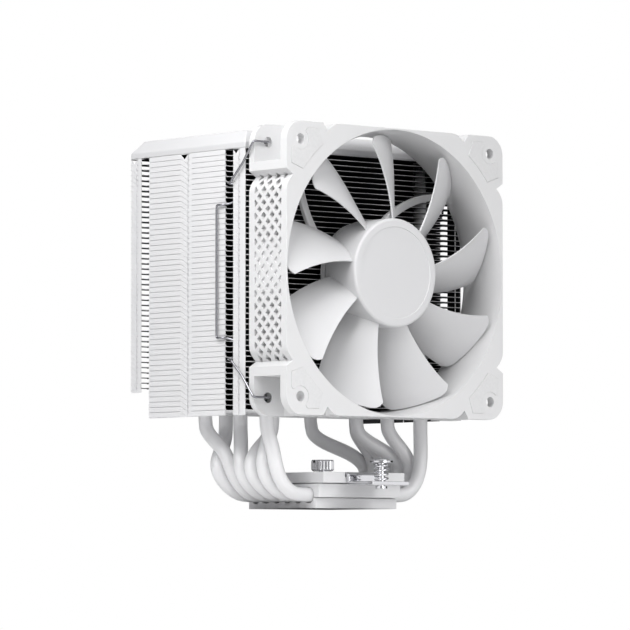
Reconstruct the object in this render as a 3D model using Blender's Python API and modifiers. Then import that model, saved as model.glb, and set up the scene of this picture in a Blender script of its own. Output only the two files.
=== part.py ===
"""Tower cooler for a computer processor, as separate parts.

Metres, +Z up. The origin is the middle of the base's contact face, and the fan faces -Y.
The fan and its rotor hang from empties whose local Z axis is the fan's axis, pointing at the fins,
so a local Z there is a depth behind the fan's front face, and local -Y is up.
"""

import math

import bmesh
import bpy
from mathutils import Matrix, Vector

GAP = 0.0003  # between neighbouring pieces
OVERRUN = 0.001  # how far a cutter runs past what it cuts

# Base, from the contact face up
BASE_HALF_WIDTH = 0.0225
PLATE_HALF_DEPTH = 0.0215
PLATE_TOP = 0.00425
CLAMP_HALF_DEPTH = 0.02375
CLAMP_TOP = 0.01025
TOP_BLOCK_HALF_DEPTH = 0.02675
TOP_BLOCK_TOP = 0.01505

# Heat pipes
PIPE_COUNT = 6
PIPE_RADIUS = 0.0030
PIPE_PITCH = 0.00690
PIPE_HEIGHT_IN_BASE = 0.0054
PIPE_EXIT_X = 0.027
PIPE_ELBOW = Vector((0.0405, 0.0, 0.0203))
PIPE_ELBOW_DRIFT = 0.18  # share of the way to its final depth that a pipe has gone at the elbow
PIPE_ELBOW_LEAN_X = 0.7  # how far a pipe already leans towards its leg at the elbow
PIPE_ELBOW_LEAN_Y = 0.4
PIPE_EXIT_PULL = 1.15
PIPE_BEND_STEPS = 5
PIPE_LEG_START = 0.001  # below the fins, where the straight leg starts
PIPE_TOP = 0.1505
# Where each pipe stands in the fins, front pipe first: half the distance between its legs, and depth
PIPE_LEGS = (
    (0.0428, -0.0140),
    (0.0320, -0.0043),
    (0.0225, 0.0057),
    (0.0320, 0.0158),
    (0.0420, 0.0275),
    (0.0230, 0.0361),
)

# Fin stack
FIN_HALF_WIDTH = 0.060
STACK_FRONT = -0.02095
STACK_REAR = 0.05505
STACK_BOTTOM = 0.03804
STACK_TOP = 0.14794
FIN_COUNT = 50
FIN_PITCH = (STACK_TOP - STACK_BOTTOM) / FIN_COUNT
FIN_THICKNESS = 0.0005
PLATE_STEP = 3  # each modelled plate stands for this many real fins
SHORT_PLATES = 2  # the lowest plates stop before the rear clip groove
PLATE_COUNT = 17
GROOVE_DEPTH = 0.0032
FRONT_GROOVE = (-0.01325, -0.00805)
REAR_GROOVE = (0.04235, 0.04785)
COVER_SKIRT = 0.0024
COVER_RISE = 0.0053
COVER_INSET = 0.0059
COVER_THICKNESS = 0.0008

# Fan, with depths measured back from its front face
FAN_FRONT_Y = -0.04745
FAN_CENTRE_Z = 0.09754
FAN_HALF = 0.060
FAN_DEPTH = 0.025
FAN_CORNER_RADIUS = 0.008
FAN_HOLE_OFFSET = 0.0525
FAN_HOLE_RADIUS = 0.0022
FRONT_FLANGE = 0.0040
REAR_FLANGE_START = 0.0207
BORE_RADIUS = 0.0582
RING_WALL = 0.0011
SIDE_WALL_OUTER = 0.0596
SIDE_WALL_HALF_LENGTH = 0.041
SIDE_WALL_THICKNESS = 0.0015
ROUND_STEPS = 48
PAD_THICKNESS = 0.0010
PAD_POCKET_DEPTH = PAD_THICKNESS + GAP
PAD_HALF = 0.0055
PAD_CORNER = 0.0015
REAR_PAD_THICKNESS = 0.0009
PAD_HOLE_RADIUS = 0.0030

# Fan motor
MOUNT_RADIUS = 0.0220
MOUNT_FRONT = 0.0210
MOUNT_REAR = 0.0246
TUBE_INNER = 0.0036
TUBE_OUTER = 0.0046
TUBE_FRONT = 0.0045
SEAL_POCKET_RADIUS = 0.0080
SEAL_POCKET_FLOOR = 0.0234
STRUT_COUNT = 4
STRUT_HALF_WIDTH = 0.0017
STRUT_SWEEP = math.radians(28)
STRUT_OUTER_ANGLE = math.radians(37)
STRUT_STEPS = 5
BOARD_RADIUS = 0.0150
BOARD_FRONT = 0.0194
BOARD_REAR = 0.0204
SLEEVE_FRONT = 0.0050
SLEEVE_REAR = 0.0213
SEAL_REAR = 0.0244
CORE_FRONT = 0.0070
CORE_REAR = 0.0130
CORE_HUB_RADIUS = 0.0075
NECK_HALF_WIDTH = 0.0025
SHOE_INNER = 0.0145
SHOE_OUTER = 0.0174
SHOE_HALF_ANGLE = math.radians(32)
COIL_START = 0.0083
COIL_END = 0.0128
COIL_HALF_WIDTH = 0.0052
COIL_HALF_DEPTH = 0.0048
COIL_HOLE_HALF_DEPTH = 0.0033
SHAFT_RADIUS = 0.0015
SHAFT_FRONT = 0.0019
SHAFT_REAR = 0.0229

# Impeller
HUB_RADIUS = 0.0227
HUB_WALL = 0.0012
HUB_FRONT = 0.0007
HUB_REAR = 0.0190
BLADE_COUNT = 9
BLADE_TIP_RADIUS = 0.0571
BLADE_ROOT_RADIUS = 0.0220
BLADE_THICKNESS = 0.0014
BLADE_SWEEP = math.radians(11.2)
BLADE_ROOT_WIDTH = math.radians(24.5)
BLADE_TIP_WIDTH = math.radians(28)
BLADE_START = math.radians(-2.6)  # where the first blade's root lies
BLADE_TIP_ROUNDING = 0.003
BLADE_MIDDLE = 0.0097  # depth halfway across a blade
BLADE_ROOT_PITCH = 0.0138  # how much deeper the trailing edge is than the leading edge
BLADE_TIP_PITCH = 0.0160
BLADE_CAMBER = 0.0012
HUB_EDGE = 0.0012
HUB_FLOOR = 0.0021
BOSS_RADIUS = 0.0030
SHAFT_SOCKET_FLOOR = 0.0016
YOKE_THICKNESS = 0.0007
YOKE_FRONT = 0.0025
YOKE_REAR = 0.0185
MAGNET_INNER = 0.0184
MAGNET_FRONT = 0.0040
MAGNET_REAR = 0.0170
SHAFT_CLIP_RADIUS = 0.0031
SHAFT_CLIP_FRONT = 0.0217
SHAFT_CLIP_REAR = 0.0223

# Mounting bar and its screws
BAR_HALF_WIDTH = 0.0102
BAR_THICKNESS = 0.0016
BAR_EAR_TOP = 0.0111
BAR_REACH = 0.0436
BAR_BEND_RADIUS = 0.0012
EAR_HOLE_RADIUS = 0.0019
SPRING_SCREW_Y = 0.0374
SCREW_SHANK_RADIUS = 0.0015
SCREW_HEAD_RADIUS = 0.00485
SCREW_HEAD_BOTTOM = 0.01865
SCREW_HEAD_TOP = 0.02057
SCREW_END = 0.00815
SCREW_HEAD_EDGE = 0.0003
RECESS_HALF_LENGTH = 0.0028
RECESS_HALF_WIDTH = 0.0004
RECESS_DEPTH = 0.0010
RETAINING_RING_RADIUS = 0.0025
SPRING_RADIUS = 0.0027
SPRING_WIRE = 0.0004
SPRING_TURNS = 4.5
SPRING_STEPS_PER_TURN = 8
THUMB_HEAD_RADIUS = 0.0048
THUMB_HEAD_BOTTOM = 0.0161
THUMB_HEAD_TOP = 0.0207
THUMB_END = 0.0110
THUMB_HEAD_EDGE = 0.0004
THUMB_SLOT_DEPTH = 0.0012
THUMB_SLOT_HALF_WIDTH = 0.0005
THUMB_WASHER_RADIUS = 0.0040

# Wire clips
CLIP_WIRE = 0.00065
CLIP_OUTSIDE_X = -0.0611
CLIP_GROOVE_X = -0.0586
CLIP_HOOK_DEPTH = 0.0195
CLIP_HOOK_END = 0.0238
CLIP_GROOVE_DEPTH = 0.0368
CLIP_HANDLE_DEPTH = 0.0446
CLIP_GROOVE_HEIGHT = 0.0374
CLIP_HANDLE_HEIGHT = 0.0275
CLIP_GROOVE_RISE = 0.0030
CLIP_BEND = 0.0012
CLIP_SLOPE_MIDDLE = (0.0270, 0.0434)
CLIP_SLOPE_END = (0.0335, 0.0389)


def clear_scene():
    for thing in list(bpy.data.objects):
        bpy.data.objects.remove(thing, do_unlink=True)


def new_collection(name):
    group = bpy.data.collections.new(name)
    bpy.context.scene.collection.children.link(group)
    return group


def new_material(name, colour, roughness, metallic=0.0):
    material = bpy.data.materials.new(name)
    material.use_nodes = True
    shader = material.node_tree.nodes["Principled BSDF"]
    shader.inputs["Base Color"].default_value = (*colour, 1.0)
    shader.inputs["Roughness"].default_value = roughness
    shader.inputs["Metallic"].default_value = metallic
    return material


clear_scene()
PART = new_collection("cpu_tower_cooler")
CUTTERS = new_collection("cutters")


def new_object(name, data, material, parent=None):
    thing = bpy.data.objects.new(name, data)
    PART.objects.link(thing)
    thing.parent = parent
    if material is not None and not data.materials:
        data.materials.append(material)
    return thing


def new_empty(name, location, rotation_x=0.0):
    empty = bpy.data.objects.new(name, None)
    PART.objects.link(empty)
    empty.location = location
    empty.rotation_euler.x = rotation_x
    return empty


def as_tool(thing):
    """Move a shape that cuts or joins another to the cutters, where it isn't a part itself."""
    PART.objects.unlink(thing)
    CUTTERS.objects.link(thing)
    thing.hide_render = True
    thing.display_type = "WIRE"
    return thing


def combine(thing, tool, operation):
    modifier = thing.modifiers.new(tool.name, "BOOLEAN")
    modifier.operation = operation
    modifier.solver = "EXACT"
    modifier.object = as_tool(tool)


def shade_round(mesh):
    mesh.shade_smooth()
    mesh.set_sharp_from_angle(angle=math.radians(35))


def mesh_of(shape, name):
    mesh = bpy.data.meshes.new(name)
    shape.to_mesh(mesh)
    shape.free()
    return mesh


def box(name, low, high, material=None, parent=None):
    shape = bmesh.new()
    bmesh.ops.create_cube(shape, size=1.0)
    bmesh.ops.scale(shape, vec=Vector(high) - Vector(low), verts=shape.verts)
    bmesh.ops.translate(shape, vec=(Vector(high) + Vector(low)) / 2, verts=shape.verts)
    return new_object(name, mesh_of(shape, name), material, parent)


def rod(name, radius, start, end, sides, material=None, parent=None):
    """Straight round bar between two points."""
    start = Vector(start)
    along = Vector(end) - start
    shape = bmesh.new()
    bmesh.ops.create_cone(
        shape, cap_ends=True, segments=sides, radius1=radius, radius2=radius, depth=along.length
    )
    turn = Vector((0, 0, 1)).rotation_difference(along).to_matrix()
    bmesh.ops.rotate(shape, matrix=turn, verts=shape.verts)
    bmesh.ops.translate(shape, vec=start + along / 2, verts=shape.verts)
    mesh = mesh_of(shape, name)
    shade_round(mesh)
    return new_object(name, mesh, material, parent)


def turned(name, profile, steps, material=None, parent=None, ring=False):
    """Spin a profile of (radius, height) points about local Z. A ring's profile closes on itself."""
    points = [(radius, 0.0, height) for radius, height in profile]
    edges = [(i, i + 1) for i in range(len(points) - 1)]
    if ring:
        edges.append((len(points) - 1, 0))
    mesh = bpy.data.meshes.new(name)
    mesh.from_pydata(points, edges, [])
    thing = new_object(name, mesh, material, parent)
    screw = thing.modifiers.new("spin", "SCREW")
    screw.axis = "Z"
    screw.angle = 2 * math.pi
    screw.steps = steps
    screw.render_steps = steps
    screw.use_merge_vertices = True
    screw.merge_threshold = 0.00001
    weld = thing.modifiers.new("weld", "WELD")
    weld.merge_threshold = 0.00001
    return thing


def ring(name, inner, outer, low, high, steps, material=None, parent=None):
    profile = ((outer, high), (outer, low), (inner, low), (inner, high))
    return turned(name, profile, steps, material, parent, ring=True)


def arc(centre_x, centre_y, radius, start, end, steps):
    """Points on an arc, from one angle to another, both included."""
    angles = [start + (end - start) * i / steps for i in range(steps + 1)]
    return [(centre_x + radius * math.cos(a), centre_y + radius * math.sin(a)) for a in angles]


def circle(centre_x, centre_y, radius, sides):
    return arc(centre_x, centre_y, radius, 0.0, 2 * math.pi * (1 - 1 / sides), sides - 1)


def rounded_square(centre_x, centre_y, half, radius, steps):
    points = []
    for quarter in range(4):
        start = quarter * math.pi / 2
        x = centre_x + (half - radius) * round(math.cos(start + math.pi / 4) * math.sqrt(2))
        y = centre_y + (half - radius) * round(math.sin(start + math.pi / 4) * math.sqrt(2))
        points += arc(x, y, radius, start, start + math.pi / 2, steps)
    return points


def welded(thing):
    """Turn a curve object into a mesh object whose caps are joined to its sides."""
    bpy.context.view_layer.update()
    evaluated = thing.evaluated_get(bpy.context.evaluated_depsgraph_get())
    mesh = bpy.data.meshes.new_from_object(evaluated)
    shape = bmesh.new()
    shape.from_mesh(mesh)
    bmesh.ops.remove_doubles(shape, verts=shape.verts, dist=0.00001)
    shape.to_mesh(mesh)
    shape.free()
    name, parent, place = thing.name, thing.parent, thing.matrix_basis.copy()
    bpy.data.objects.remove(thing, do_unlink=True)
    solid = new_object(name, mesh, None, parent)
    solid.matrix_basis = place
    return solid


def plate(name, outlines, low, high, material=None, parent=None):
    """Flat plate between two heights. The first outline is its edge, and the others are holes."""
    curve = bpy.data.curves.new(name, "CURVE")
    curve.dimensions = "2D"
    curve.fill_mode = "BOTH"
    curve.extrude = (high - low) / 2
    for outline in outlines:
        spline = curve.splines.new("POLY")
        spline.points.add(len(outline) - 1)
        for point, (x, y) in zip(spline.points, outline):
            point.co = (x, y, 0.0, 1.0)
        spline.use_cyclic_u = True
    thing = new_object(name, curve, material, parent)
    thing.location.z = (low + high) / 2
    return welded(thing)


def wire(name, points, radius, material, parent=None):
    curve = bpy.data.curves.new(name, "CURVE")
    curve.dimensions = "3D"
    curve.bevel_depth = radius
    curve.bevel_resolution = 2
    curve.use_fill_caps = True
    spline = curve.splines.new("POLY")
    spline.points.add(len(points) - 1)
    for point, place in zip(spline.points, points):
        point.co = (*place, 1.0)
    return new_object(name, curve, material, parent)


def hermite(start, start_pull, end, end_pull, steps):
    """Points on a smooth curve that leaves start along start_pull and reaches end along end_pull."""
    points = []
    for i in range(1, steps + 1):
        t = i / steps
        points.append(
            (2 * t**3 - 3 * t**2 + 1) * start
            + (t**3 - 2 * t**2 + t) * start_pull
            + (3 * t**2 - 2 * t**3) * end
            + (t**3 - t**2) * end_pull
        )
    return points


def pipe_depth_in_base(number):
    return (number - (PIPE_COUNT - 1) / 2) * PIPE_PITCH


def cut_pipe_channels(block):
    for number in range(PIPE_COUNT):
        y = pipe_depth_in_base(number)
        reach = BASE_HALF_WIDTH + OVERRUN
        start = (-reach, y, PIPE_HEIGHT_IN_BASE)
        end = (reach, y, PIPE_HEIGHT_IN_BASE)
        channel = rod(f"{block.name}_channel_{number + 1}", PIPE_RADIUS + GAP, start, end, 16)
        combine(block, channel, "DIFFERENCE")


def make_base(paint):
    x = BASE_HALF_WIDTH
    y = PLATE_HALF_DEPTH
    plate_block = box("base_plate", (-x, -y, 0.0), (x, y, PLATE_TOP), paint)
    cut_pipe_channels(plate_block)

    y = CLAMP_HALF_DEPTH
    clamp = box("clamp_block", (-x, -y, PLATE_TOP + GAP), (x, y, CLAMP_TOP), paint)
    cut_pipe_channels(clamp)

    y = TOP_BLOCK_HALF_DEPTH
    block = box("top_block", (-x, -y, CLAMP_TOP + GAP), (x, y, TOP_BLOCK_TOP), paint)
    floor = TOP_BLOCK_TOP - BAR_THICKNESS - GAP
    side = BAR_HALF_WIDTH + GAP
    reach = TOP_BLOCK_HALF_DEPTH + OVERRUN
    slot = box("top_block_bar_slot", (-side, -reach, floor), (side, reach, TOP_BLOCK_TOP + OVERRUN))
    combine(block, slot, "DIFFERENCE")
    bottom = (0, 0, CLAMP_TOP - OVERRUN)
    top = (0, 0, TOP_BLOCK_TOP + OVERRUN)
    hole = rod("top_block_screw_hole", SCREW_SHANK_RADIUS + GAP, bottom, top, 16)
    combine(block, hole, "DIFFERENCE")


def pipe_half(number):
    """Centre line of one pipe's right half, from its exit from the base to its tip."""
    half_span, depth = PIPE_LEGS[number]
    base_depth = pipe_depth_in_base(number)
    exit_point = Vector((PIPE_EXIT_X, base_depth, PIPE_HEIGHT_IN_BASE))
    elbow = PIPE_ELBOW + Vector((0, base_depth + PIPE_ELBOW_DRIFT * (depth - base_depth), 0))
    leg_start = Vector((half_span, depth, STACK_BOTTOM - PIPE_LEG_START))
    rise = leg_start - elbow
    lean = Vector((rise.x * PIPE_ELBOW_LEAN_X, rise.y * PIPE_ELBOW_LEAN_Y, rise.z)).normalized()
    reach = (elbow - exit_point).length * PIPE_EXIT_PULL
    points = [exit_point]
    points += hermite(exit_point, Vector((reach, 0, 0)), elbow, lean * reach, PIPE_BEND_STEPS)
    reach = rise.length
    upward = Vector((0, 0, reach))
    points += hermite(elbow, lean * reach, leg_start, upward, PIPE_BEND_STEPS)
    points.append(Vector((half_span, depth, PIPE_TOP)))
    return points


def make_heat_pipes(paint):
    for number in range(PIPE_COUNT):
        right = pipe_half(number)
        left = [Vector((-p.x, p.y, p.z)) for p in reversed(right)]
        wire(f"heat_pipe_{number + 1}", left + right, PIPE_RADIUS, paint)


def fin_outline(rear):
    """Edge of a fin, with a clip groove in each side. A short fin ends before the rear groove."""
    grooves = [FRONT_GROOVE]
    if rear > REAR_GROOVE[1]:
        grooves.append(REAR_GROOVE)
    right = [(FIN_HALF_WIDTH, STACK_FRONT)]
    for front_edge, rear_edge in grooves:
        right.append((FIN_HALF_WIDTH, front_edge))
        right.append((FIN_HALF_WIDTH - GROOVE_DEPTH, front_edge))
        right.append((FIN_HALF_WIDTH - GROOVE_DEPTH, rear_edge))
        right.append((FIN_HALF_WIDTH, rear_edge))
    right.append((FIN_HALF_WIDTH, rear))
    return right + [(-x, y) for x, y in reversed(right)]


def pipe_holes():
    """Square holes, one around each pipe leg."""
    half_diagonal = (PIPE_RADIUS + GAP) * math.sqrt(2)
    holes = []
    for half_span, depth in PIPE_LEGS:
        holes.append(circle(half_span, depth, half_diagonal, 4))
        holes.append(circle(-half_span, depth, half_diagonal, 4))
    return holes


def make_fins(paint):
    """Every third fin, from the stack's bottom up. The fins of one length share one mesh."""
    meshes = {}
    for number in range(PLATE_COUNT):
        rear = REAR_GROOVE[0] if number < SHORT_PLATES else STACK_REAR
        name = f"fin_{number + 1:02d}"
        if rear in meshes:
            fin = new_object(name, meshes[rear], paint)
        else:
            fin = plate(name, [fin_outline(rear)] + pipe_holes(), 0.0, FIN_THICKNESS)
            fin.data.materials.append(paint)
            meshes[rear] = fin.data
        fin.location.z = STACK_BOTTOM + number * PLATE_STEP * FIN_PITCH + FIN_THICKNESS / 2


def make_cover(paint):
    """Hipped lid over the pipe tips: a skirt, four sloped sides and a flat top."""
    shape = bmesh.new()
    bmesh.ops.create_cube(shape, size=1.0)
    size = (2 * FIN_HALF_WIDTH, STACK_REAR - STACK_FRONT, COVER_SKIRT)
    bmesh.ops.scale(shape, vec=size, verts=shape.verts)
    middle = (0, (STACK_FRONT + STACK_REAR) / 2, STACK_TOP + COVER_SKIRT / 2)
    bmesh.ops.translate(shape, vec=middle, verts=shape.verts)
    shape.faces.ensure_lookup_table()
    bottom = [face for face in shape.faces if face.normal.z < -0.5]
    top = [face for face in shape.faces if face.normal.z > 0.5]
    bmesh.ops.inset_region(shape, faces=top, thickness=COVER_INSET, depth=COVER_RISE)
    bmesh.ops.delete(shape, geom=bottom, context="FACES_ONLY")
    cover = new_object("top_cover", mesh_of(shape, "top_cover"), paint)
    shell = cover.modifiers.new("shell", "SOLIDIFY")
    shell.thickness = COVER_THICKNESS
    shell.offset = -1.0
    shell.use_even_offset = True


def bar_path():
    """Middle line of the mounting bar's front half in (depth, height), from its centre to its tip."""
    top = TOP_BLOCK_TOP - BAR_THICKNESS / 2
    ear = BAR_EAR_TOP - BAR_THICKNESS / 2
    drop = TOP_BLOCK_HALF_DEPTH + GAP + BAR_THICKNESS / 2
    radius = BAR_BEND_RADIUS
    quarter = math.pi / 2
    path = [(0.0, top)]
    path += arc(drop - radius, top - radius, radius, quarter, 0.0, 3)
    path += arc(drop + radius, ear + radius, radius, 2 * quarter, 3 * quarter, 3)
    path.append((BAR_REACH, ear))
    return path


def make_mounting_bar(steel):
    front = [(-y, z) for y, z in reversed(bar_path())]
    path = front[:-1] + bar_path()
    shape = bmesh.new()
    rows = []
    for x in (-BAR_HALF_WIDTH, BAR_HALF_WIDTH):
        rows.append([shape.verts.new((x, y, z)) for y, z in path])
    for i in range(len(path) - 1):
        shape.faces.new((rows[0][i], rows[1][i], rows[1][i + 1], rows[0][i + 1]))
    bar = new_object("mounting_bar", mesh_of(shape, "mounting_bar"), steel)
    shell = bar.modifiers.new("sheet", "SOLIDIFY")
    shell.thickness = BAR_THICKNESS
    shell.offset = 0.0
    shell.use_even_offset = True
    for label, y in (("front", -SPRING_SCREW_Y), ("centre", 0.0), ("rear", SPRING_SCREW_Y)):
        bottom = (0, y, BAR_EAR_TOP - BAR_THICKNESS - OVERRUN)
        top = (0, y, TOP_BLOCK_TOP + OVERRUN)
        hole = rod(f"bar_hole_{label}", EAR_HOLE_RADIUS, bottom, top, 16)
        combine(bar, hole, "DIFFERENCE")


def make_thumb_screw(steel):
    axis = new_empty("thumb_screw_axis", (0, 0, 0))
    profile = (
        (0.0, THUMB_HEAD_TOP),
        (THUMB_HEAD_RADIUS - THUMB_HEAD_EDGE, THUMB_HEAD_TOP),
        (THUMB_HEAD_RADIUS, THUMB_HEAD_TOP - THUMB_HEAD_EDGE),
        (THUMB_HEAD_RADIUS, THUMB_HEAD_BOTTOM),
        (SCREW_SHANK_RADIUS, THUMB_HEAD_BOTTOM),
        (SCREW_SHANK_RADIUS, THUMB_END),
        (0.0, THUMB_END),
    )
    screw = turned("thumb_screw", profile, 24, steel, axis)
    reach = THUMB_HEAD_RADIUS + OVERRUN
    half = THUMB_SLOT_HALF_WIDTH
    low = (-reach, -half, THUMB_HEAD_TOP - THUMB_SLOT_DEPTH)
    high = (reach, half, THUMB_HEAD_TOP + OVERRUN)
    slot = box("thumb_screw_slot", low, high, parent=axis)
    combine(screw, slot, "DIFFERENCE")
    low = TOP_BLOCK_TOP + GAP
    high = THUMB_HEAD_BOTTOM - GAP
    hole = SCREW_SHANK_RADIUS + GAP
    ring("thumb_screw_washer", hole, THUMB_WASHER_RADIUS, low, high, 16, steel, axis)


def make_spring_screw(label, y, steel):
    """One sprung screw: the screw, its coil spring and the ring that keeps it in the ear."""
    axis = new_empty(f"{label}_screw_axis", (0, y, 0))
    profile = (
        (0.0, SCREW_HEAD_TOP),
        (SCREW_HEAD_RADIUS - SCREW_HEAD_EDGE, SCREW_HEAD_TOP),
        (SCREW_HEAD_RADIUS, SCREW_HEAD_TOP - SCREW_HEAD_EDGE),
        (SCREW_HEAD_RADIUS, SCREW_HEAD_BOTTOM),
        (SCREW_SHANK_RADIUS, SCREW_HEAD_BOTTOM),
        (SCREW_SHANK_RADIUS, SCREW_END),
        (0.0, SCREW_END),
    )
    screw = turned(f"{label}_screw", profile, 20, steel, axis)
    long, short = RECESS_HALF_LENGTH, RECESS_HALF_WIDTH
    for number, (x, depth) in enumerate(((long, short), (short, long))):
        low = (-x, -depth, SCREW_HEAD_TOP - RECESS_DEPTH)
        high = (x, depth, SCREW_HEAD_TOP + OVERRUN)
        recess = box(f"{label}_screw_recess_{number + 1}", low, high, parent=axis)
        combine(screw, recess, "DIFFERENCE")

    low = BAR_EAR_TOP + GAP + SPRING_WIRE
    high = SCREW_HEAD_BOTTOM - GAP - SPRING_WIRE
    count = round(SPRING_TURNS * SPRING_STEPS_PER_TURN)
    coil = []
    for i in range(count + 1):
        angle = 2 * math.pi * SPRING_TURNS * i / count
        z = low + (high - low) * i / count
        coil.append((SPRING_RADIUS * math.cos(angle), SPRING_RADIUS * math.sin(angle), z))
    spring = wire(f"{label}_spring", coil, SPRING_WIRE, steel, axis)
    spring.data.bevel_resolution = 1

    hole = SCREW_SHANK_RADIUS + GAP
    high = BAR_EAR_TOP - BAR_THICKNESS - GAP
    ring(f"{label}_retaining_ring", hole, RETAINING_RING_RADIUS, SCREW_END, high, 16, steel, axis)


def make_fan_frame(plastic, fan):
    half = FAN_HALF
    corner = FAN_CORNER_RADIUS
    outline = rounded_square(0, 0, half, corner, 3)
    frame = plate("fan_frame", [outline], 0.0, FRONT_FLANGE, parent=fan)
    frame.data.materials.append(plastic)
    combine(frame, plate("rear_flange", [outline], REAR_FLANGE_START, FAN_DEPTH, parent=fan), "UNION")
    middle = (FRONT_FLANGE - OVERRUN, REAR_FLANGE_START + OVERRUN)
    ring_outline = circle(0, 0, BORE_RADIUS + RING_WALL, ROUND_STEPS)
    combine(frame, plate("ring_wall", [ring_outline], *middle, parent=fan), "UNION")
    for side in range(4):
        low = (-SIDE_WALL_HALF_LENGTH, SIDE_WALL_OUTER - SIDE_WALL_THICKNESS, middle[0])
        high = (SIDE_WALL_HALF_LENGTH, SIDE_WALL_OUTER, middle[1])
        wall = box(f"side_wall_{side}", low, high, parent=fan)
        wall.rotation_euler.z = side * math.pi / 2
        combine(frame, wall, "UNION")
    ends = ((0, 0, -OVERRUN), (0, 0, FAN_DEPTH + OVERRUN))
    bore = rod("bore", BORE_RADIUS, *ends, ROUND_STEPS, parent=fan)
    combine(frame, bore, "DIFFERENCE")

    mount_profile = (
        (TUBE_INNER, TUBE_FRONT),
        (TUBE_INNER, SEAL_POCKET_FLOOR),
        (SEAL_POCKET_RADIUS, SEAL_POCKET_FLOOR),
        (SEAL_POCKET_RADIUS, MOUNT_REAR),
        (MOUNT_RADIUS, MOUNT_REAR),
        (MOUNT_RADIUS, MOUNT_FRONT),
        (TUBE_OUTER, MOUNT_FRONT),
        (TUBE_OUTER, TUBE_FRONT),
    )
    combine(frame, turned("motor_mount", mount_profile, 24, parent=fan, ring=True), "UNION")
    for number in range(STRUT_COUNT):
        combine(frame, make_strut(number, fan), "UNION")
    for number in range(4):
        x, y = corner_hole(number)
        ends = ((x, y, -OVERRUN), (x, y, FAN_DEPTH + OVERRUN))
        hole = rod(f"frame_hole_{number}", FAN_HOLE_RADIUS, *ends, 12, parent=fan)
        combine(frame, hole, "DIFFERENCE")
        edge = rounded_square(x, y, PAD_HALF + GAP, PAD_CORNER, 1)
        pocket = plate(f"pad_pocket_{number}", [edge], -OVERRUN, PAD_POCKET_DEPTH, parent=fan)
        combine(frame, pocket, "DIFFERENCE")


def corner_hole(number):
    angle = math.pi / 4 + number * math.pi / 2
    reach = FAN_HOLE_OFFSET * math.sqrt(2)
    return reach * math.cos(angle), reach * math.sin(angle)


def make_strut(number, fan):
    """Curved arm from the motor mount to the ring wall."""
    inner = MOUNT_RADIUS - OVERRUN
    outer = BORE_RADIUS + RING_WALL / 2
    outer_angle = STRUT_OUTER_ANGLE + number * 2 * math.pi / STRUT_COUNT
    left = []
    right = []
    for i in range(STRUT_STEPS + 1):
        radius = inner + (outer - inner) * i / STRUT_STEPS
        angle = outer_angle + STRUT_SWEEP * (1 - i / STRUT_STEPS)
        width = STRUT_HALF_WIDTH / radius
        left.append((radius * math.cos(angle + width), -radius * math.sin(angle + width)))
        right.append((radius * math.cos(angle - width), -radius * math.sin(angle - width)))
    outline = left + right[::-1]
    return plate(f"strut_{number}", [outline], MOUNT_FRONT + GAP, MOUNT_REAR - GAP, parent=fan)


def make_pads(name, low, high, rubber, fan):
    """Four soft corner pads, one around each screw hole."""
    for number in range(4):
        x, y = corner_hole(number)
        edge = rounded_square(x, y, PAD_HALF, PAD_CORNER, 1)
        outlines = [edge, circle(x, y, PAD_HOLE_RADIUS, 12)]
        pad = plate(f"{name}_{number + 1}", outlines, low, high, parent=fan)
        pad.data.materials.append(rubber)


def make_motor(steel, copper, board_green, seal_grey, fan):
    hole = TUBE_OUTER + GAP
    ring("fan_circuit_board", hole, BOARD_RADIUS, BOARD_FRONT, BOARD_REAR, 20, board_green, fan)
    ends = (SLEEVE_FRONT, SLEEVE_REAR)
    ring("bearing_sleeve", SHAFT_RADIUS + GAP, TUBE_INNER - GAP, *ends, 16, copper, fan)
    ends = ((0, 0, SEAL_POCKET_FLOOR + GAP), (0, 0, SEAL_REAR))
    rod("motor_seal", SEAL_POCKET_RADIUS - GAP, *ends, 24, seal_grey, fan)
    make_stator(steel, copper, fan)


def make_stator(steel, copper, fan):
    """Four-pole core on the bearing tube, with a coil around each pole's neck."""
    root = math.sqrt(CORE_HUB_RADIUS**2 - NECK_HALF_WIDTH**2)
    corner = (SHOE_INNER * math.cos(SHOE_HALF_ANGLE), -SHOE_INNER * math.sin(SHOE_HALF_ANGLE))
    right = [(root, -NECK_HALF_WIDTH), (SHOE_INNER, -NECK_HALF_WIDTH), corner]
    left = [(x, -y) for x, y in reversed(right)]
    pole = right + arc(0, 0, SHOE_OUTER, -SHOE_HALF_ANGLE, SHOE_HALF_ANGLE, 4) + left
    outline = []
    for number in range(4):
        turn = Matrix.Rotation(number * math.pi / 2, 2)
        outline += [tuple(turn @ Vector(point)) for point in pole]
    hole = circle(0, 0, TUBE_OUTER + GAP, 12)
    core = plate("stator_core", [outline, hole], CORE_FRONT, CORE_REAR, parent=fan)
    core.data.materials.append(steel)

    for number in range(4):
        coil = coil_around_neck(f"stator_coil_{number + 1}", fan)
        coil.data.transform(Matrix.Rotation(number * math.pi / 2, 4, "Z"))
        coil.data.materials.append(copper)


def coil_around_neck(name, fan):
    """Rectangular loop of wire around the pole that points along X."""
    outer = (COIL_HALF_WIDTH, COIL_HALF_DEPTH)
    inner = (NECK_HALF_WIDTH + GAP, COIL_HOLE_HALF_DEPTH)
    outlines = []
    for across, up in (outer, inner):
        outlines.append([(-up, -across), (up, -across), (up, across), (-up, across)])
    coil = plate(name, outlines, COIL_START, COIL_END, parent=fan)
    coil.data.transform(coil.matrix_basis)
    coil.data.transform(Matrix.Rotation(math.pi / 2, 4, "Y"))
    coil.data.transform(Matrix.Translation((0, 0, (CORE_FRONT + CORE_REAR) / 2)))
    coil.matrix_basis = Matrix.Identity(4)
    return coil


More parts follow.
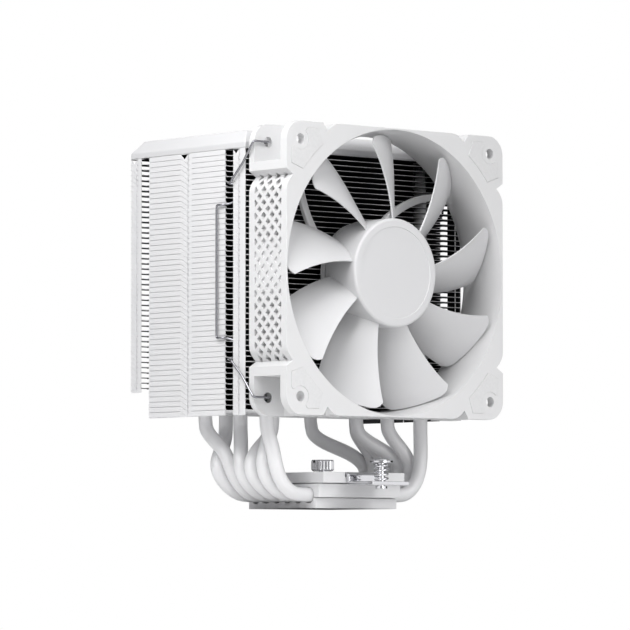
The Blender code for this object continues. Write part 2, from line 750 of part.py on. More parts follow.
def blade_point(across, along):
    """Point on a blade's middle surface.

    across runs from the leading to the trailing edge, and along from root to tip.
    """
    tip = BLADE_TIP_RADIUS - BLADE_TIP_ROUNDING * abs(2 * across - 1) ** 3
    radius = BLADE_ROOT_RADIUS + along * (tip - BLADE_ROOT_RADIUS)
    width = BLADE_ROOT_WIDTH + along * (BLADE_TIP_WIDTH - BLADE_ROOT_WIDTH)
    angle = BLADE_SWEEP * along + (0.5 - across) * width
    pitch = BLADE_ROOT_PITCH + along * (BLADE_TIP_PITCH - BLADE_ROOT_PITCH)
    depth = BLADE_MIDDLE + (across - 0.5) * pitch - BLADE_CAMBER * math.sin(math.pi * across)
    return Vector((radius * math.cos(angle), -radius * math.sin(angle), depth))


def make_blades(rotor):
    """All the blades as thick curved sheets whose roots run into the hub's wall."""
    columns = 4
    rows = 5
    shape = bmesh.new()
    for number in range(BLADE_COUNT):
        turn = Matrix.Rotation(BLADE_START + 2 * math.pi * number / BLADE_COUNT, 3, "Z")
        grid = bmesh.ops.create_grid(shape, x_segments=columns - 1, y_segments=rows - 1, size=0.5)
        for vert in grid["verts"]:
            vert.co = turn @ blade_point(vert.co.x + 0.5, vert.co.y + 0.5)
    blades = new_object("blades", mesh_of(shape, "blades"), None, rotor)
    sheet = blades.modifiers.new("sheet", "SOLIDIFY")
    sheet.thickness = BLADE_THICKNESS
    sheet.offset = 0.0
    return blades


def make_rotor(plastic, steel, dark, rotor):
    inner = HUB_RADIUS - HUB_WALL
    socket = SHAFT_RADIUS + GAP
    boss_rear = TUBE_FRONT - GAP
    profile = (
        (0.0, SHAFT_SOCKET_FLOOR),
        (socket, SHAFT_SOCKET_FLOOR),
        (socket, boss_rear),
        (BOSS_RADIUS, boss_rear),
        (BOSS_RADIUS, HUB_FLOOR),
        (inner, HUB_FLOOR),
        (inner, HUB_REAR),
        (HUB_RADIUS, HUB_REAR),
        (HUB_RADIUS, HUB_FRONT + HUB_EDGE),
        (HUB_RADIUS - HUB_EDGE, HUB_FRONT),
        (0.0, HUB_FRONT),
    )
    impeller = turned("impeller", profile, 36, plastic, rotor)
    combine(impeller, make_blades(rotor), "UNION")
    yoke_outer = inner - GAP
    yoke_inner = yoke_outer - YOKE_THICKNESS
    ring("rotor_yoke", yoke_inner, yoke_outer, YOKE_FRONT, YOKE_REAR, 24, steel, rotor)
    magnet_outer = yoke_inner - GAP
    ring("rotor_magnet", MAGNET_INNER, magnet_outer, MAGNET_FRONT, MAGNET_REAR, 24, dark, rotor)
    rod("fan_shaft", SHAFT_RADIUS, (0, 0, SHAFT_FRONT), (0, 0, SHAFT_REAR), 16, steel, rotor)
    ends = (SHAFT_CLIP_FRONT, SHAFT_CLIP_REAR)
    ring("shaft_clip", socket, SHAFT_CLIP_RADIUS, *ends, 16, steel, rotor)


def clip_path():
    """Upper half of the left clip, from the hook to the middle of its handle.

    Points are (x, depth, height) with depth behind the fan's front face and height above its centre.
    """
    bend = CLIP_BEND
    hook_x = -FAN_HOLE_OFFSET
    return (
        (hook_x, CLIP_HOOK_END, FAN_HOLE_OFFSET),
        (hook_x, CLIP_HOOK_DEPTH + bend, FAN_HOLE_OFFSET),
        (hook_x - bend, CLIP_HOOK_DEPTH, FAN_HOLE_OFFSET),
        (CLIP_OUTSIDE_X + bend, CLIP_HOOK_DEPTH, FAN_HOLE_OFFSET),
        (CLIP_OUTSIDE_X, CLIP_HOOK_DEPTH + bend, FAN_HOLE_OFFSET - bend),
        (CLIP_OUTSIDE_X, *CLIP_SLOPE_MIDDLE),
        (CLIP_OUTSIDE_X, *CLIP_SLOPE_END),
        (CLIP_GROOVE_X, CLIP_GROOVE_DEPTH, CLIP_GROOVE_HEIGHT),
        (CLIP_GROOVE_X, CLIP_GROOVE_DEPTH, CLIP_HANDLE_HEIGHT + CLIP_GROOVE_RISE),
        (CLIP_OUTSIDE_X, CLIP_GROOVE_DEPTH + bend, CLIP_HANDLE_HEIGHT),
        (CLIP_OUTSIDE_X, CLIP_HANDLE_DEPTH - bend, CLIP_HANDLE_HEIGHT),
        (CLIP_OUTSIDE_X, CLIP_HANDLE_DEPTH, CLIP_HANDLE_HEIGHT - bend),
    )


def make_clip(label, side, steel):
    """Wire clip that hooks into the fan's rear flange and springs into the fins' groove."""
    pivot = Vector((side * FAN_HOLE_OFFSET, FAN_FRONT_Y + REAR_FLANGE_START, FAN_CENTRE_Z))
    axis = new_empty(f"clip_{label}_axis", pivot)
    upper = []
    for x, depth, height in clip_path():
        place = Vector((-side * x, FAN_FRONT_Y + depth, FAN_CENTRE_Z + height))
        upper.append(place - pivot)
    lower = [Vector((p.x, p.y, -p.z)) for p in reversed(upper)]
    wire(f"fan_clip_{label}", upper + lower, CLIP_WIRE, steel, axis)


def make_all():
    paint = new_material("white_paint", (0.86, 0.86, 0.87), 0.45)
    pipe_paint = new_material("white_pipe_paint", (0.84, 0.84, 0.85), 0.30)
    fin_paint = new_material("white_fin_paint", (0.87, 0.87, 0.88), 0.50)
    plastic = new_material("white_plastic", (0.88, 0.88, 0.88), 0.40)
    grey_plastic = new_material("impeller_plastic", (0.80, 0.80, 0.81), 0.35)
    chrome = new_material("polished_steel", (0.75, 0.75, 0.76), 0.15, 1.0)
    dark_wire = new_material("spring_steel", (0.35, 0.35, 0.36), 0.25, 1.0)
    rubber = new_material("white_rubber", (0.85, 0.85, 0.85), 0.70)
    copper = new_material("copper", (0.80, 0.40, 0.22), 0.35, 1.0)
    board = new_material("circuit_board", (0.05, 0.25, 0.12), 0.50)
    magnet = new_material("magnet_black", (0.05, 0.05, 0.05), 0.60)

    make_base(paint)
    make_heat_pipes(pipe_paint)
    make_fins(fin_paint)
    make_cover(paint)
    make_mounting_bar(chrome)
    make_thumb_screw(chrome)
    make_spring_screw("front", -SPRING_SCREW_Y, chrome)
    make_spring_screw("rear", SPRING_SCREW_Y, chrome)

    fan_place = (0, FAN_FRONT_Y, FAN_CENTRE_Z)
    fan = new_empty("fan_origin", fan_place, rotation_x=-math.pi / 2)
    rotor = new_empty("rotor_axis", fan_place, rotation_x=-math.pi / 2)
    make_fan_frame(plastic, fan)
    make_pads("front_pad", 0.0, PAD_THICKNESS, rubber, fan)
    rear = FAN_DEPTH + GAP
    make_pads("rear_pad", rear, rear + REAR_PAD_THICKNESS, rubber, fan)
    make_motor(chrome, copper, board, rubber, fan)
    make_rotor(grey_plastic, chrome, magnet, rotor)
    make_clip("left", -1, dark_wire)
    make_clip("right", 1, dark_wire)


make_all()
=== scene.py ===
"""The looks of the tower cooler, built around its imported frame.

Metres, +Z up, with the fan facing -Y. Places come from the frame's boxes, and a fan shape is drawn
in the fan's own plane: x to the right, up from the fan's middle, and depth behind its front face.
"""

import math

import bmesh
import bpy
from mathutils import Matrix, Vector


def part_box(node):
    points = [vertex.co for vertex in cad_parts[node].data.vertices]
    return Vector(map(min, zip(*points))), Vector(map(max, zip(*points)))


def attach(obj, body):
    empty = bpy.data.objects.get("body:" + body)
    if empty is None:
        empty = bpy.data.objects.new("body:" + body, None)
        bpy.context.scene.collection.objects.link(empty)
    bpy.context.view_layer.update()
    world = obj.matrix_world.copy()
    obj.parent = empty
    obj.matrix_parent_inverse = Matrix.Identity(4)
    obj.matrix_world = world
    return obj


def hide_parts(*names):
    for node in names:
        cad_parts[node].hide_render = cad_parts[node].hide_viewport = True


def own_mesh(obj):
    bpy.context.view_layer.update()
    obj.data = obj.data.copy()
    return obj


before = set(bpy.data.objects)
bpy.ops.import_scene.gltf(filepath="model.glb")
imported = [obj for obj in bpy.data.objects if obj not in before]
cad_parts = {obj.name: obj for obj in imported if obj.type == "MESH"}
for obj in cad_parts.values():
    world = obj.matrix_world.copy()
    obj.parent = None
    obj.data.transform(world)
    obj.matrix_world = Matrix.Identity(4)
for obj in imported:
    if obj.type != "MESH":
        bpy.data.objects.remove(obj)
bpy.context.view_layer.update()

SHARP = math.radians(38)  # edges that turn more than this stay crisp
WELD = 0.000005  # points this close become one
FINE_WELD = 0.000002
PAST = 0.001  # how far a cutter reaches past the face it cuts
NOISE_RANGE = (0.25, 0.75)  # most of a noise texture's values
BASE_EDGE = 0.00045
BAR_EDGE = 0.0003
COVER_EDGE = 0.0005

# Fin stack, from the frame
STACK_LOW, STACK_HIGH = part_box("fin_17")
COVER_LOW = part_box("top_cover")[0]
SHORT_FIN_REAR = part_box("fin_01")[1].y
STACK_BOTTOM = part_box("fin_01")[0].z
STACK_TOP = COVER_LOW.z
FIN_COUNT = 50
SHORT_FIN_COUNT = 5
FINS_PER_NODE = 3
FIN_PITCH = (STACK_TOP - STACK_BOTTOM) / FIN_COUNT
FIN_SHEET = 0.00026
FIN_WALL = 0.00035
FIN_LINE = 0.00022  # gap between one fin's folded edge and the next
TAB_LINE = 0.00016
TAB_SUNK = 0.00005
BEHIND_SUNK = 0.0001  # how far the walls behind tabs and in grooves lie deeper than those in front
TOOTH_SUNK = 0.0002
FIN_SHADE_LIP = 0.0008  # short fold inside the rear groove, near-black on every face: painted shade
RIDGE_DEPTH = 0.00045
FIN_HALF_WIDTH = STACK_HIGH.x
PIPE_COUNT = 6
PIPE_HOLE_MARGIN = 0.0002
PIPE_GROWTH = 0.00028  # what smoothing takes off a pipe's radius
GROOVE_DEPTH = 0.0032
FRONT_GROOVE = (-0.01325, -0.00805)
REAR_GROOVE = (0.04235, 0.04785)
TOOTH = 0.0008
SLACK = 0.0001  # for comparing one place with another
FIN_DROP = 0.00002  # keeps the top fin's sheet clear of the cover

# Fan, from the frame
FAN_LOW, FAN_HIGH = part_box("fan_frame")
FAN_HALF = FAN_HIGH.x
FAN_FRONT = FAN_LOW.y
FAN_DEPTH = FAN_HIGH.y - FAN_LOW.y
FAN_CENTRE_Z = (FAN_LOW.z + FAN_HIGH.z) / 2
PAD_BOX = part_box("front_pad_1")
HOLE_OFFSET = (PAD_BOX[0].x + PAD_BOX[1].x) / 2
FACE = 0.00015  # the frame's front face lies this far behind the pads and the bore's lip
FAN_CORNER = 0.0080
FLANGE = 0.0040
REAR_FLANGE_START = 0.0207
RIM_EDGE = 0.0012
CUT_EDGE = 0.0002
SHELL_REAR = FAN_DEPTH - 0.0011
POD_START = 0.0402
POD_WALL = 0.0038
NOTCH_AT = 0.0379
NOTCH_DEPTH = 0.0036
PANEL_END = 0.0314
PANEL_THICKNESS = 0.0015
RING_OUTER = 0.0593
LIP_RADIUS = 0.0595
BORE_RADIUS = 0.0579
FRONT_FLARE_END = 0.0070  # the bore narrows from its lip to here, and widens again at the rear
REAR_FLARE_START = 0.0205
HOLE_RADIUS = 0.0022
RELIEF_RADIUS = 0.0046
RELIEF_SKIN = 0.0006
BOSS_RADIUS = 0.0043
PAD_OUTER = 0.0573
PAD_ARM = 0.0496
PAD_HEEL = 0.0426
PAD_TOE = (0.0404, 0.0511)
PAD_ARM_CORNER = 0.0013
PAD_RECESS = 0.0010
PAD_LINE = 0.00007
PAD_EDGE = 0.0003
LATTICE_PITCH = 0.00265
LATTICE_HALF = 0.00158
LATTICE_ROWS = 14
LATTICE_DEPTHS = (0.0034, 0.0204)
LATTICE_SHIFT = (-0.00133, -0.0004)  # in depth, and up
MOUNT_RADIUS = 0.0220
MOUNT_FRONT = 0.0210
MOUNT_REAR = 0.0238
STRUT_COUNT = 4
STRUT_HALF_WIDTH = 0.0018
STRUT_SWEEP = math.radians(28)
STRUT_OUTER_ANGLE = math.radians(37)

# Impeller
HUB_RADIUS = 0.0227
HUB_FRONT = 0.0007
HUB_REAR = 0.0190
HUB_EDGE = 0.0012
HUB_WALL = 0.0012
HUB_INSIDE = 0.0021
HUB_INSET_RADIUS = 0.0190
HUB_INSET_DEPTH = 0.00025
BLADE_COUNT = 9
BLADE_TIP_RADIUS = 0.0574
BLADE_ROOT_RADIUS = 0.0222
BLADE_START = math.radians(-2.6)
BLADE_SWEEP = math.radians(12.8)
BLADE_ROOT_WIDTH = math.radians(25)
BLADE_TIP_WIDTH = math.radians(25.5)
BLADE_LEADING_DEPTHS = (0.0028, 0.0014)  # at the root and at the tip
BLADE_TRAILING_DEPTHS = (0.0162, 0.0174)
BLADE_CAMBER = 0.0012
BLADE_TIP_ROUNDING = 0.0030
BLADE_THICKNESS = 0.0013

# Screws, springs and clips
SPRING_WIRE = 0.0004
SPRING_TURNS = 4.5
SHANK_RADIUS = 0.0015
WASHER_HOLE = 0.0018
HEAD_GAP = 0.0003  # under a screw's head
CLIP_WIRE = 0.00048
CLIP_BEND = 0.0011


# ---------------------------------------------------------------- meshes


def mesh_from(shape, name):
    mesh = bpy.data.meshes.new(name)
    bmesh.ops.recalc_face_normals(shape, faces=shape.faces)
    shape.to_mesh(mesh)
    shape.free()
    return mesh


def new_object(name, data):
    thing = bpy.data.objects.new(name, data)
    bpy.context.scene.collection.objects.link(thing)
    return thing


def soften(mesh, angle=SHARP):
    mesh.shade_smooth()
    mesh.set_sharp_from_angle(angle=angle)


def harden(thing, angle=SHARP):
    """Smooth shading whose flat faces stay flat beside their rounded edges."""
    soften(thing.data, angle)
    normals = thing.modifiers.new("normals", "WEIGHTED_NORMAL")
    normals.keep_sharp = True


def bake(thing):
    """Apply a shape's modifiers and remove the shapes that cut or joined it."""
    tools = [m.object for m in thing.modifiers if m.type == "BOOLEAN"]
    bpy.context.view_layer.update()
    evaluated = thing.evaluated_get(bpy.context.evaluated_depsgraph_get())
    mesh = bpy.data.meshes.new_from_object(evaluated)
    place = thing.matrix_world.copy()
    name = thing.name
    for old in [thing] + tools:
        bpy.data.objects.remove(old, do_unlink=True)
    mesh.transform(place)
    return new_object(name, mesh)


def combine(thing, tool, operation):
    modifier = thing.modifiers.new(tool.name, "BOOLEAN")
    modifier.operation = operation
    modifier.solver = "EXACT"
    modifier.object = tool
    tool.hide_render = True


def bevel(thing, width, segments=3, angle=math.radians(40)):
    modifier = thing.modifiers.new("edges", "BEVEL")
    modifier.width = width
    modifier.segments = segments
    modifier.limit_method = "ANGLE"
    modifier.angle_limit = angle
    modifier.use_clamp_overlap = True


def arc(centre_x, centre_y, radius, start, end, steps):
    angles = [start + (end - start) * i / steps for i in range(steps + 1)]
    return [(centre_x + radius * math.cos(a), centre_y + radius * math.sin(a)) for a in angles]


def circle(centre_x, centre_y, radius, sides):
    return arc(centre_x, centre_y, radius, 0.0, 2 * math.pi * (1 - 1 / sides), sides - 1)


def plate(name, outlines, low, high):
    """Flat plate across local Z. The first outline is its edge, and the others are holes."""
    curve = bpy.data.curves.new(name, "CURVE")
    curve.dimensions = "2D"
    curve.fill_mode = "BOTH"
    curve.extrude = (high - low) / 2
    for outline in outlines:
        spline = curve.splines.new("POLY")
        spline.points.add(len(outline) - 1)
        for point, (x, y) in zip(spline.points, outline):
            point.co = (x, y, 0.0, 1.0)
        spline.use_cyclic_u = True
    thing = new_object(name, curve)
    thing.location.z = (low + high) / 2
    solid = bake(thing)
    shape = bmesh.new()
    shape.from_mesh(solid.data)
    bmesh.ops.remove_doubles(shape, verts=shape.verts, dist=WELD)
    bmesh.ops.recalc_face_normals(shape, faces=shape.faces)
    shape.to_mesh(solid.data)
    shape.free()
    return solid


def turned(name, profile, steps, ring=False):
    """Spin a profile of (radius, height) points about local Z."""
    shape = bmesh.new()
    rows = []
    for i in range(steps):
        angle = 2 * math.pi * i / steps
        rows.append([shape.verts.new((r * math.cos(angle), r * math.sin(angle), h)) for r, h in profile])
    last = len(profile) if ring else len(profile) - 1
    for i in range(steps):
        here, there = rows[i], rows[(i + 1) % steps]
        for j in range(last):
            k = (j + 1) % len(profile)
            shape.faces.new((here[j], there[j], there[k], here[k]))
    bmesh.ops.remove_doubles(shape, verts=shape.verts, dist=FINE_WELD)
    bmesh.ops.dissolve_degenerate(shape, edges=shape.edges, dist=FINE_WELD)
    return new_object(name, mesh_from(shape, name))


def add_prism(shape, corners, offset, material=0):
    """Closed prism on a flat outline, pushed along offset."""
    offset = Vector(offset)
    bottom = [shape.verts.new(corner) for corner in corners]
    top = [shape.verts.new(Vector(corner) + offset) for corner in corners]
    faces = [shape.faces.new(bottom), shape.faces.new(list(reversed(top)))]
    for i in range(len(corners)):
        j = (i + 1) % len(corners)
        faces.append(shape.faces.new((bottom[j], bottom[i], top[i], top[j])))
    for face in faces:
        face.material_index = material
    return faces


def tube(name, points, radius, sides=6, cyclic=False):
    """Round wire along a line of points, as a mesh with welded caps."""
    curve = bpy.data.curves.new(name, "CURVE")
    curve.dimensions = "3D"
    curve.bevel_depth = radius
    curve.bevel_resolution = sides
    curve.use_fill_caps = True
    spline = curve.splines.new("POLY")
    spline.points.add(len(points) - 1)
    for point, place in zip(spline.points, points):
        point.co = (*place, 1.0)
    spline.use_cyclic_u = cyclic
    solid = bake(new_object(name, curve))
    shape = bmesh.new()
    shape.from_mesh(solid.data)
    bmesh.ops.remove_doubles(shape, verts=shape.verts, dist=FINE_WELD)
    shape.to_mesh(solid.data)
    shape.free()
    soften(solid.data, math.radians(60))
    return solid


def rounded_path(points, radius, steps=6):
    """Replace each inner corner of a polyline with a smooth bend."""
    path = [Vector(points[0])]
    for before, corner, after in zip(points, points[1:], points[2:]):
        before, corner, after = Vector(before), Vector(corner), Vector(after)
        reach_in = min(radius, (before - corner).length * 0.45)
        reach_out = min(radius, (after - corner).length * 0.45)
        start = corner + (before - corner).normalized() * reach_in
        end = corner + (after - corner).normalized() * reach_out
        for i in range(steps + 1):
            t = i / steps
            path.append((1 - t) ** 2 * start + 2 * t * (1 - t) * corner + t**2 * end)
    path.append(Vector(points[-1]))
    return path


def cad_copy(name, node, flat=True):
    """A piece that starts as a welded copy of a CAD node's mesh."""
    shape = bmesh.new()
    shape.from_mesh(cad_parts[node].data)
    bmesh.ops.remove_doubles(shape, verts=shape.verts, dist=WELD)
    if flat:
        bmesh.ops.dissolve_limit(
            shape, angle_limit=math.radians(2), verts=shape.verts, edges=shape.edges
        )
    else:
        bmesh.ops.join_triangles(
            shape, faces=shape.faces, angle_face_threshold=3.0, angle_shape_threshold=3.0
        )
    return new_object(name, mesh_from(shape, name))


def joined(name, things):
    """One object made of several, each left as its own closed shell."""
    shape = bmesh.new()
    for thing in things:
        piece = bake(thing)
        shape.from_mesh(piece.data)
        bpy.data.objects.remove(piece, do_unlink=True)
    mesh = bpy.data.meshes.new(name)
    shape.to_mesh(mesh)
    shape.free()
    return new_object(name, mesh)


def to_fan(thing):
    """Stand a shape drawn in the fan's plane, with Z as depth, where the fan is."""
    x_up_depth = Matrix(((1, 0, 0, 0), (0, 0, 1, FAN_FRONT), (0, 1, 0, FAN_CENTRE_Z), (0, 0, 0, 1)))
    thing.data.transform(x_up_depth)
    thing.data.flip_normals()
    return thing


def place(thing, body, slot, material, *nodes):
    """Give a finished piece its material, body and the CAD nodes that it stands for. The slot is not
    used.
    """
    if material is not None:
        thing.data.materials.clear()
        thing.data.materials.append(material)
    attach(thing, body)
    if nodes:
        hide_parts(*nodes)
    return thing


# ---------------------------------------------------------------- materials


def mix_colours(tree, factor, first, second):
    """Mix two colours, each given as a socket or as a plain colour."""
    mix = tree.nodes.new("ShaderNodeMix")
    mix.data_type = "RGBA"
    tree.links.new(factor, mix.inputs[0])
    sockets = [socket for socket in mix.inputs if socket.type == "RGBA"]
    for socket, colour in zip(sockets, (first, second)):
        if isinstance(colour, tuple):
            socket.default_value = colour
        else:
            tree.links.new(colour, socket)
    return [socket for socket in mix.outputs if socket.type == "RGBA"][0]


class Nodes:
    """Small helper that adds and links the nodes of one material."""

    def __init__(self, name):
        self.material = bpy.data.materials.new(name)
        self.material.use_nodes = True
        self.tree = self.material.node_tree
        self.shader = self.tree.nodes["Principled BSDF"]
        coordinates = self.tree.nodes.new("ShaderNodeTexCoord")
        self.place = coordinates.outputs["Object"]

    def add(self, kind, **settings):
        node = self.tree.nodes.new(kind)
        for key, value in settings.items():
            setattr(node, key, value)
        return node

    def link(self, output, node, key):
        self.tree.links.new(output, node.inputs[key])

    def stretched(self, scale):
        mapping = self.add("ShaderNodeMapping")
        mapping.inputs["Scale"].default_value = scale
        self.link(self.place, mapping, "Vector")
        return mapping.outputs["Vector"]

    def noise(self, scale, detail=3.0, stretch=(1, 1, 1)):
        node = self.add("ShaderNodeTexNoise")
        node.inputs["Scale"].default_value = scale
        node.inputs["Detail"].default_value = detail
        self.link(self.stretched(stretch), node, "Vector")
        return node.outputs["Fac"]

    def remap(self, value, low, high):
        node = self.add("ShaderNodeMapRange")
        node.inputs["From Min"].default_value = NOISE_RANGE[0]
        node.inputs["From Max"].default_value = NOISE_RANGE[1]
        node.inputs["To Min"].default_value = low
        node.inputs["To Max"].default_value = high
        self.link(value, node, "Value")
        return node.outputs["Result"]

    def blend_colours(self, factor, first, second):
        return mix_colours(self.tree, factor, (*first, 1.0), (*second, 1.0))

    def bump(self, height, distance):
        node = self.add("ShaderNodeBump")
        node.inputs["Strength"].default_value = 1.0
        node.inputs["Distance"].default_value = distance
        self.link(height, node, "Height")
        return node.outputs["Normal"]

    def colour(self, output):
        self.link(output, self.shader, "Base Color")

    def rough(self, output):
        self.link(output, self.shader, "Roughness")

    def normal(self, output):
        self.link(output, self.shader, "Normal")

    def fixed(self, **values):
        for key, value in values.items():
            self.shader.inputs[key.replace("_", " ")].default_value = value


def shade(colour, factor):
    return tuple(channel * factor for channel in colour)


def painted(name, colour, roughness, peel, coat=0.0):
    """Sprayed paint: faint clouds in its colour, and an orange-peel surface."""
    nodes = Nodes(name)
    clouds = nodes.remap(nodes.noise(45, 4), 0.0, 1.0)
    nodes.colour(nodes.blend_colours(clouds, shade(colour, 0.965), colour))
    nodes.rough(nodes.remap(nodes.noise(160, 5), roughness * 0.85, roughness * 1.15))
    nodes.normal(nodes.bump(nodes.noise(1400, 2), peel))
    nodes.fixed(Coat_Weight=coat, Coat_Roughness=0.12)
    return nodes.material


def moulded(name, colour, roughness, grain):
    """Moulded plastic: spark-eroded grain, and slow flow marks in gloss and colour."""
    nodes = Nodes(name)
    flow = nodes.remap(nodes.noise(60, 2, (1, 1, 0.4)), 0.0, 1.0)
    nodes.colour(nodes.blend_colours(flow, shade(colour, 0.985), colour))
    nodes.rough(nodes.remap(nodes.noise(400, 2), roughness * 0.9, roughness * 1.1))
    nodes.normal(nodes.bump(nodes.noise(3800, 2), grain))
    nodes.fixed(Coat_Weight=0.08, Coat_Roughness=0.3)
    return nodes.material


def metal(name, colour, roughness, stretch, scratch=0.000004):
    """Bright metal whose fine scratches run along its least stretched direction."""
    nodes = Nodes(name)
    lines = nodes.noise(2400, 3, stretch)
    tint = nodes.remap(nodes.noise(70, 3), 0.0, 1.0)
    nodes.colour(nodes.blend_colours(tint, shade(colour, 0.93), colour))
    nodes.rough(nodes.remap(lines, roughness * 0.7, roughness * 1.4))
    nodes.normal(nodes.bump(lines, scratch))
    nodes.fixed(Metallic=1.0)
    return nodes.material


def rubber(name, colour):
    nodes = Nodes(name)
    speckle = nodes.remap(nodes.noise(900, 4), 0.0, 1.0)
    nodes.colour(nodes.blend_colours(speckle, shade(colour, 0.94), colour))
    nodes.rough(nodes.remap(nodes.noise(300, 3), 0.62, 0.8))
    nodes.normal(nodes.bump(nodes.noise(2600, 3), 0.00003))
    nodes.fixed(Sheen_Weight=0.15, Sheen_Roughness=0.5)
    return nodes.material


def wound_wire(name, colour):
    """Enamelled wire: round turns side by side, the colour darkened between turns as painted shade."""
    nodes = Nodes(name)
    wave = nodes.add("ShaderNodeTexWave", bands_direction="DIAGONAL")
    wave.inputs["Scale"].default_value = 700
    nodes.link(nodes.place, wave, "Vector")
    nodes.colour(nodes.blend_colours(wave.outputs["Fac"], shade(colour, 0.45), colour))
    nodes.rough(nodes.remap(nodes.noise(500, 2), 0.22, 0.4))
    nodes.normal(nodes.bump(wave.outputs["Fac"], 0.00015))
    nodes.fixed(Metallic=1.0)
    return nodes.material


def circuit_board(name):
    """Green solder mask with paler tracks under it."""
    nodes = Nodes(name)
    cells = nodes.add("ShaderNodeTexVoronoi", feature="DISTANCE_TO_EDGE")
    cells.inputs["Scale"].default_value = 420
    nodes.link(nodes.place, cells, "Vector")
    tracks = nodes.remap(cells.outputs["Distance"], 0.0, 1.0)
    nodes.colour(nodes.blend_colours(tracks, (0.06, 0.30, 0.14), (0.02, 0.15, 0.07)))
    nodes.rough(nodes.remap(nodes.noise(300, 2), 0.3, 0.45))
    nodes.normal(nodes.bump(cells.outputs["Distance"], 0.00004))
    return nodes.material


BASE_PAINT = painted("base_paint", (0.86, 0.86, 0.87), 0.40, 0.00003)
# The cover's white paint made darker than the base's: painted shade that offsets the strong light on its
# top
COVER_SHADED_PAINT = painted("cover_paint", (0.68, 0.68, 0.69), 0.40, 0.000025)
PIPE_PAINT = painted("pipe_paint", (0.88, 0.88, 0.89), 0.32, 0.00001, coat=0.5)
FIN_PAINT = painted("fin_paint", (0.78, 0.78, 0.79), 0.45, 0.00001)
# Near-black paint on the fins' flat faces, inner walls and groove fold: painted shade between the white
# fins
FIN_PAINTED_SHADE = painted("fin_painted_shade", (0.012, 0.012, 0.014), 0.7, 0.00001)
FRAME_PLASTIC = moulded("frame_plastic", (0.74, 0.74, 0.745), 0.38, 0.000006)
# A little greyer than the frame's plastic: partly its own tone, partly painted shade near the hub and
# between the blades
IMPELLER_PLASTIC = moulded("impeller_plastic", (0.70, 0.70, 0.71), 0.34, 0.000003)
PAD_RUBBER = rubber("pad_rubber", (0.74, 0.74, 0.745))
SEAL_PLASTIC = moulded("seal_plastic", (0.70, 0.70, 0.70), 0.5, 0.00001)
CHROME = metal("polished_steel", (0.72, 0.72, 0.74), 0.08, (1, 1, 0.08), 0.000001)
CLIP_STEEL = metal("clip_wire", (0.30, 0.30, 0.32), 0.12, (1, 1, 0.1))
MOTOR_STEEL = metal("motor_steel", (0.45, 0.45, 0.47), 0.35, (1, 0.1, 1))
BRASS = metal("bearing_brass", (0.62, 0.44, 0.20), 0.3, (1, 0.1, 1))
MAGNET = rubber("magnet", (0.05, 0.05, 0.052))
COPPER = wound_wire("copper_wire", (0.72, 0.32, 0.14))
BOARD = circuit_board("circuit_board")


# ---------------------------------------------------------------- base and pipes


def make_base():
    for node in ("base_plate", "clamp_block", "top_block"):
        block = cad_copy(f"{node}_painted", node)
        bevel(block, BASE_EDGE)
        block = bake(block)
        harden(block)
        place(block, "cooler", "base_paint", BASE_PAINT, node)


def make_pipes():
    """The CAD pipes as smooth tubes, grown back to their radius after the smoothing."""
    for number in range(PIPE_COUNT):
        node = f"heat_pipe_{number + 1}"
        pipe = cad_copy(f"smooth_pipe_{number + 1}", node, flat=False)
        smooth = pipe.modifiers.new("smooth", "SUBSURF")
        smooth.levels = 2
        smooth.render_levels = 2
        pipe = bake(pipe)
        pipe.data.update()
        grow = [vertex.normal * PIPE_GROWTH for vertex in pipe.data.vertices]
        for vertex, step in zip(pipe.data.vertices, grow):
            vertex.co += step
        soften(pipe.data, math.radians(80))
        place(pipe, "cooler", "pipe_paint", PIPE_PAINT, node)


def make_bar():
    bar = cad_copy("chrome_bar", "mounting_bar")
    bevel(bar, BAR_EDGE, angle=math.radians(50))
    bar = bake(bar)
    harden(bar)
    place(bar, "cooler", "polished_steel", CHROME, "mounting_bar")


def slot_cutter(name, x, y, floor):
    """Box about the Z axis, to cut a slot into a screw's head down to its floor."""
    shape = bmesh.new()
    corners = [(-x, -y, floor), (x, -y, floor), (x, y, floor), (-x, y, floor)]
    add_prism(shape, corners, (0, 0, 0.003))
    return new_object(name, mesh_from(shape, name))


def make_thumb_screw():
    """Slotted screw whose head has a straight knurl."""
    low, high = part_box("thumb_screw")
    radius = high.x
    head_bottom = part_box("thumb_screw_washer")[1].z + HEAD_GAP
    teeth = 24
    tooth_steps = 4
    steps = teeth * tooth_steps
    knurl_depth = 0.0004
    edge = 0.0004
    levels = [head_bottom + step * edge for step in range(3)]
    levels += [high.z - step * edge for step in (2, 1, 0)]
    insets = (edge, 0.0001, 0.0, 0.0, 0.0001, edge)
    shape = bmesh.new()
    rows = []
    for level, (z, inset) in enumerate(zip(levels, insets)):
        row = []
        for i in range(steps):
            wave = 0.5 + 0.5 * math.cos(2 * math.pi * i / tooth_steps)
            knurl = knurl_depth * wave if level in (2, 3) else 0.0
            angle = 2 * math.pi * i / steps
            reach = radius - inset - knurl
            row.append(shape.verts.new((reach * math.cos(angle), reach * math.sin(angle), z)))
        rows.append(row)
    for lower, upper in zip(rows, rows[1:]):
        for i in range(steps):
            j = (i + 1) % steps
            shape.faces.new((lower[i], lower[j], upper[j], upper[i]))
    shape.faces.new(rows[0])
    shape.faces.new(rows[-1])
    head = new_object("thumb_head", mesh_from(shape, "thumb_head"))
    combine(head, slot_cutter("thumb_slot", 0.006, 0.0005, high.z - 0.0013), "DIFFERENCE")
    shank_top = head_bottom + edge
    profile = [(0.0, shank_top), (SHANK_RADIUS, shank_top), (SHANK_RADIUS, low.z), (0.0, low.z)]
    screw = joined("knurled_thumb_screw", [head, turned("thumb_shank", profile, 48)])
    harden(screw)
    place(screw, "thumb_screw", "polished_steel", CHROME, "thumb_screw")


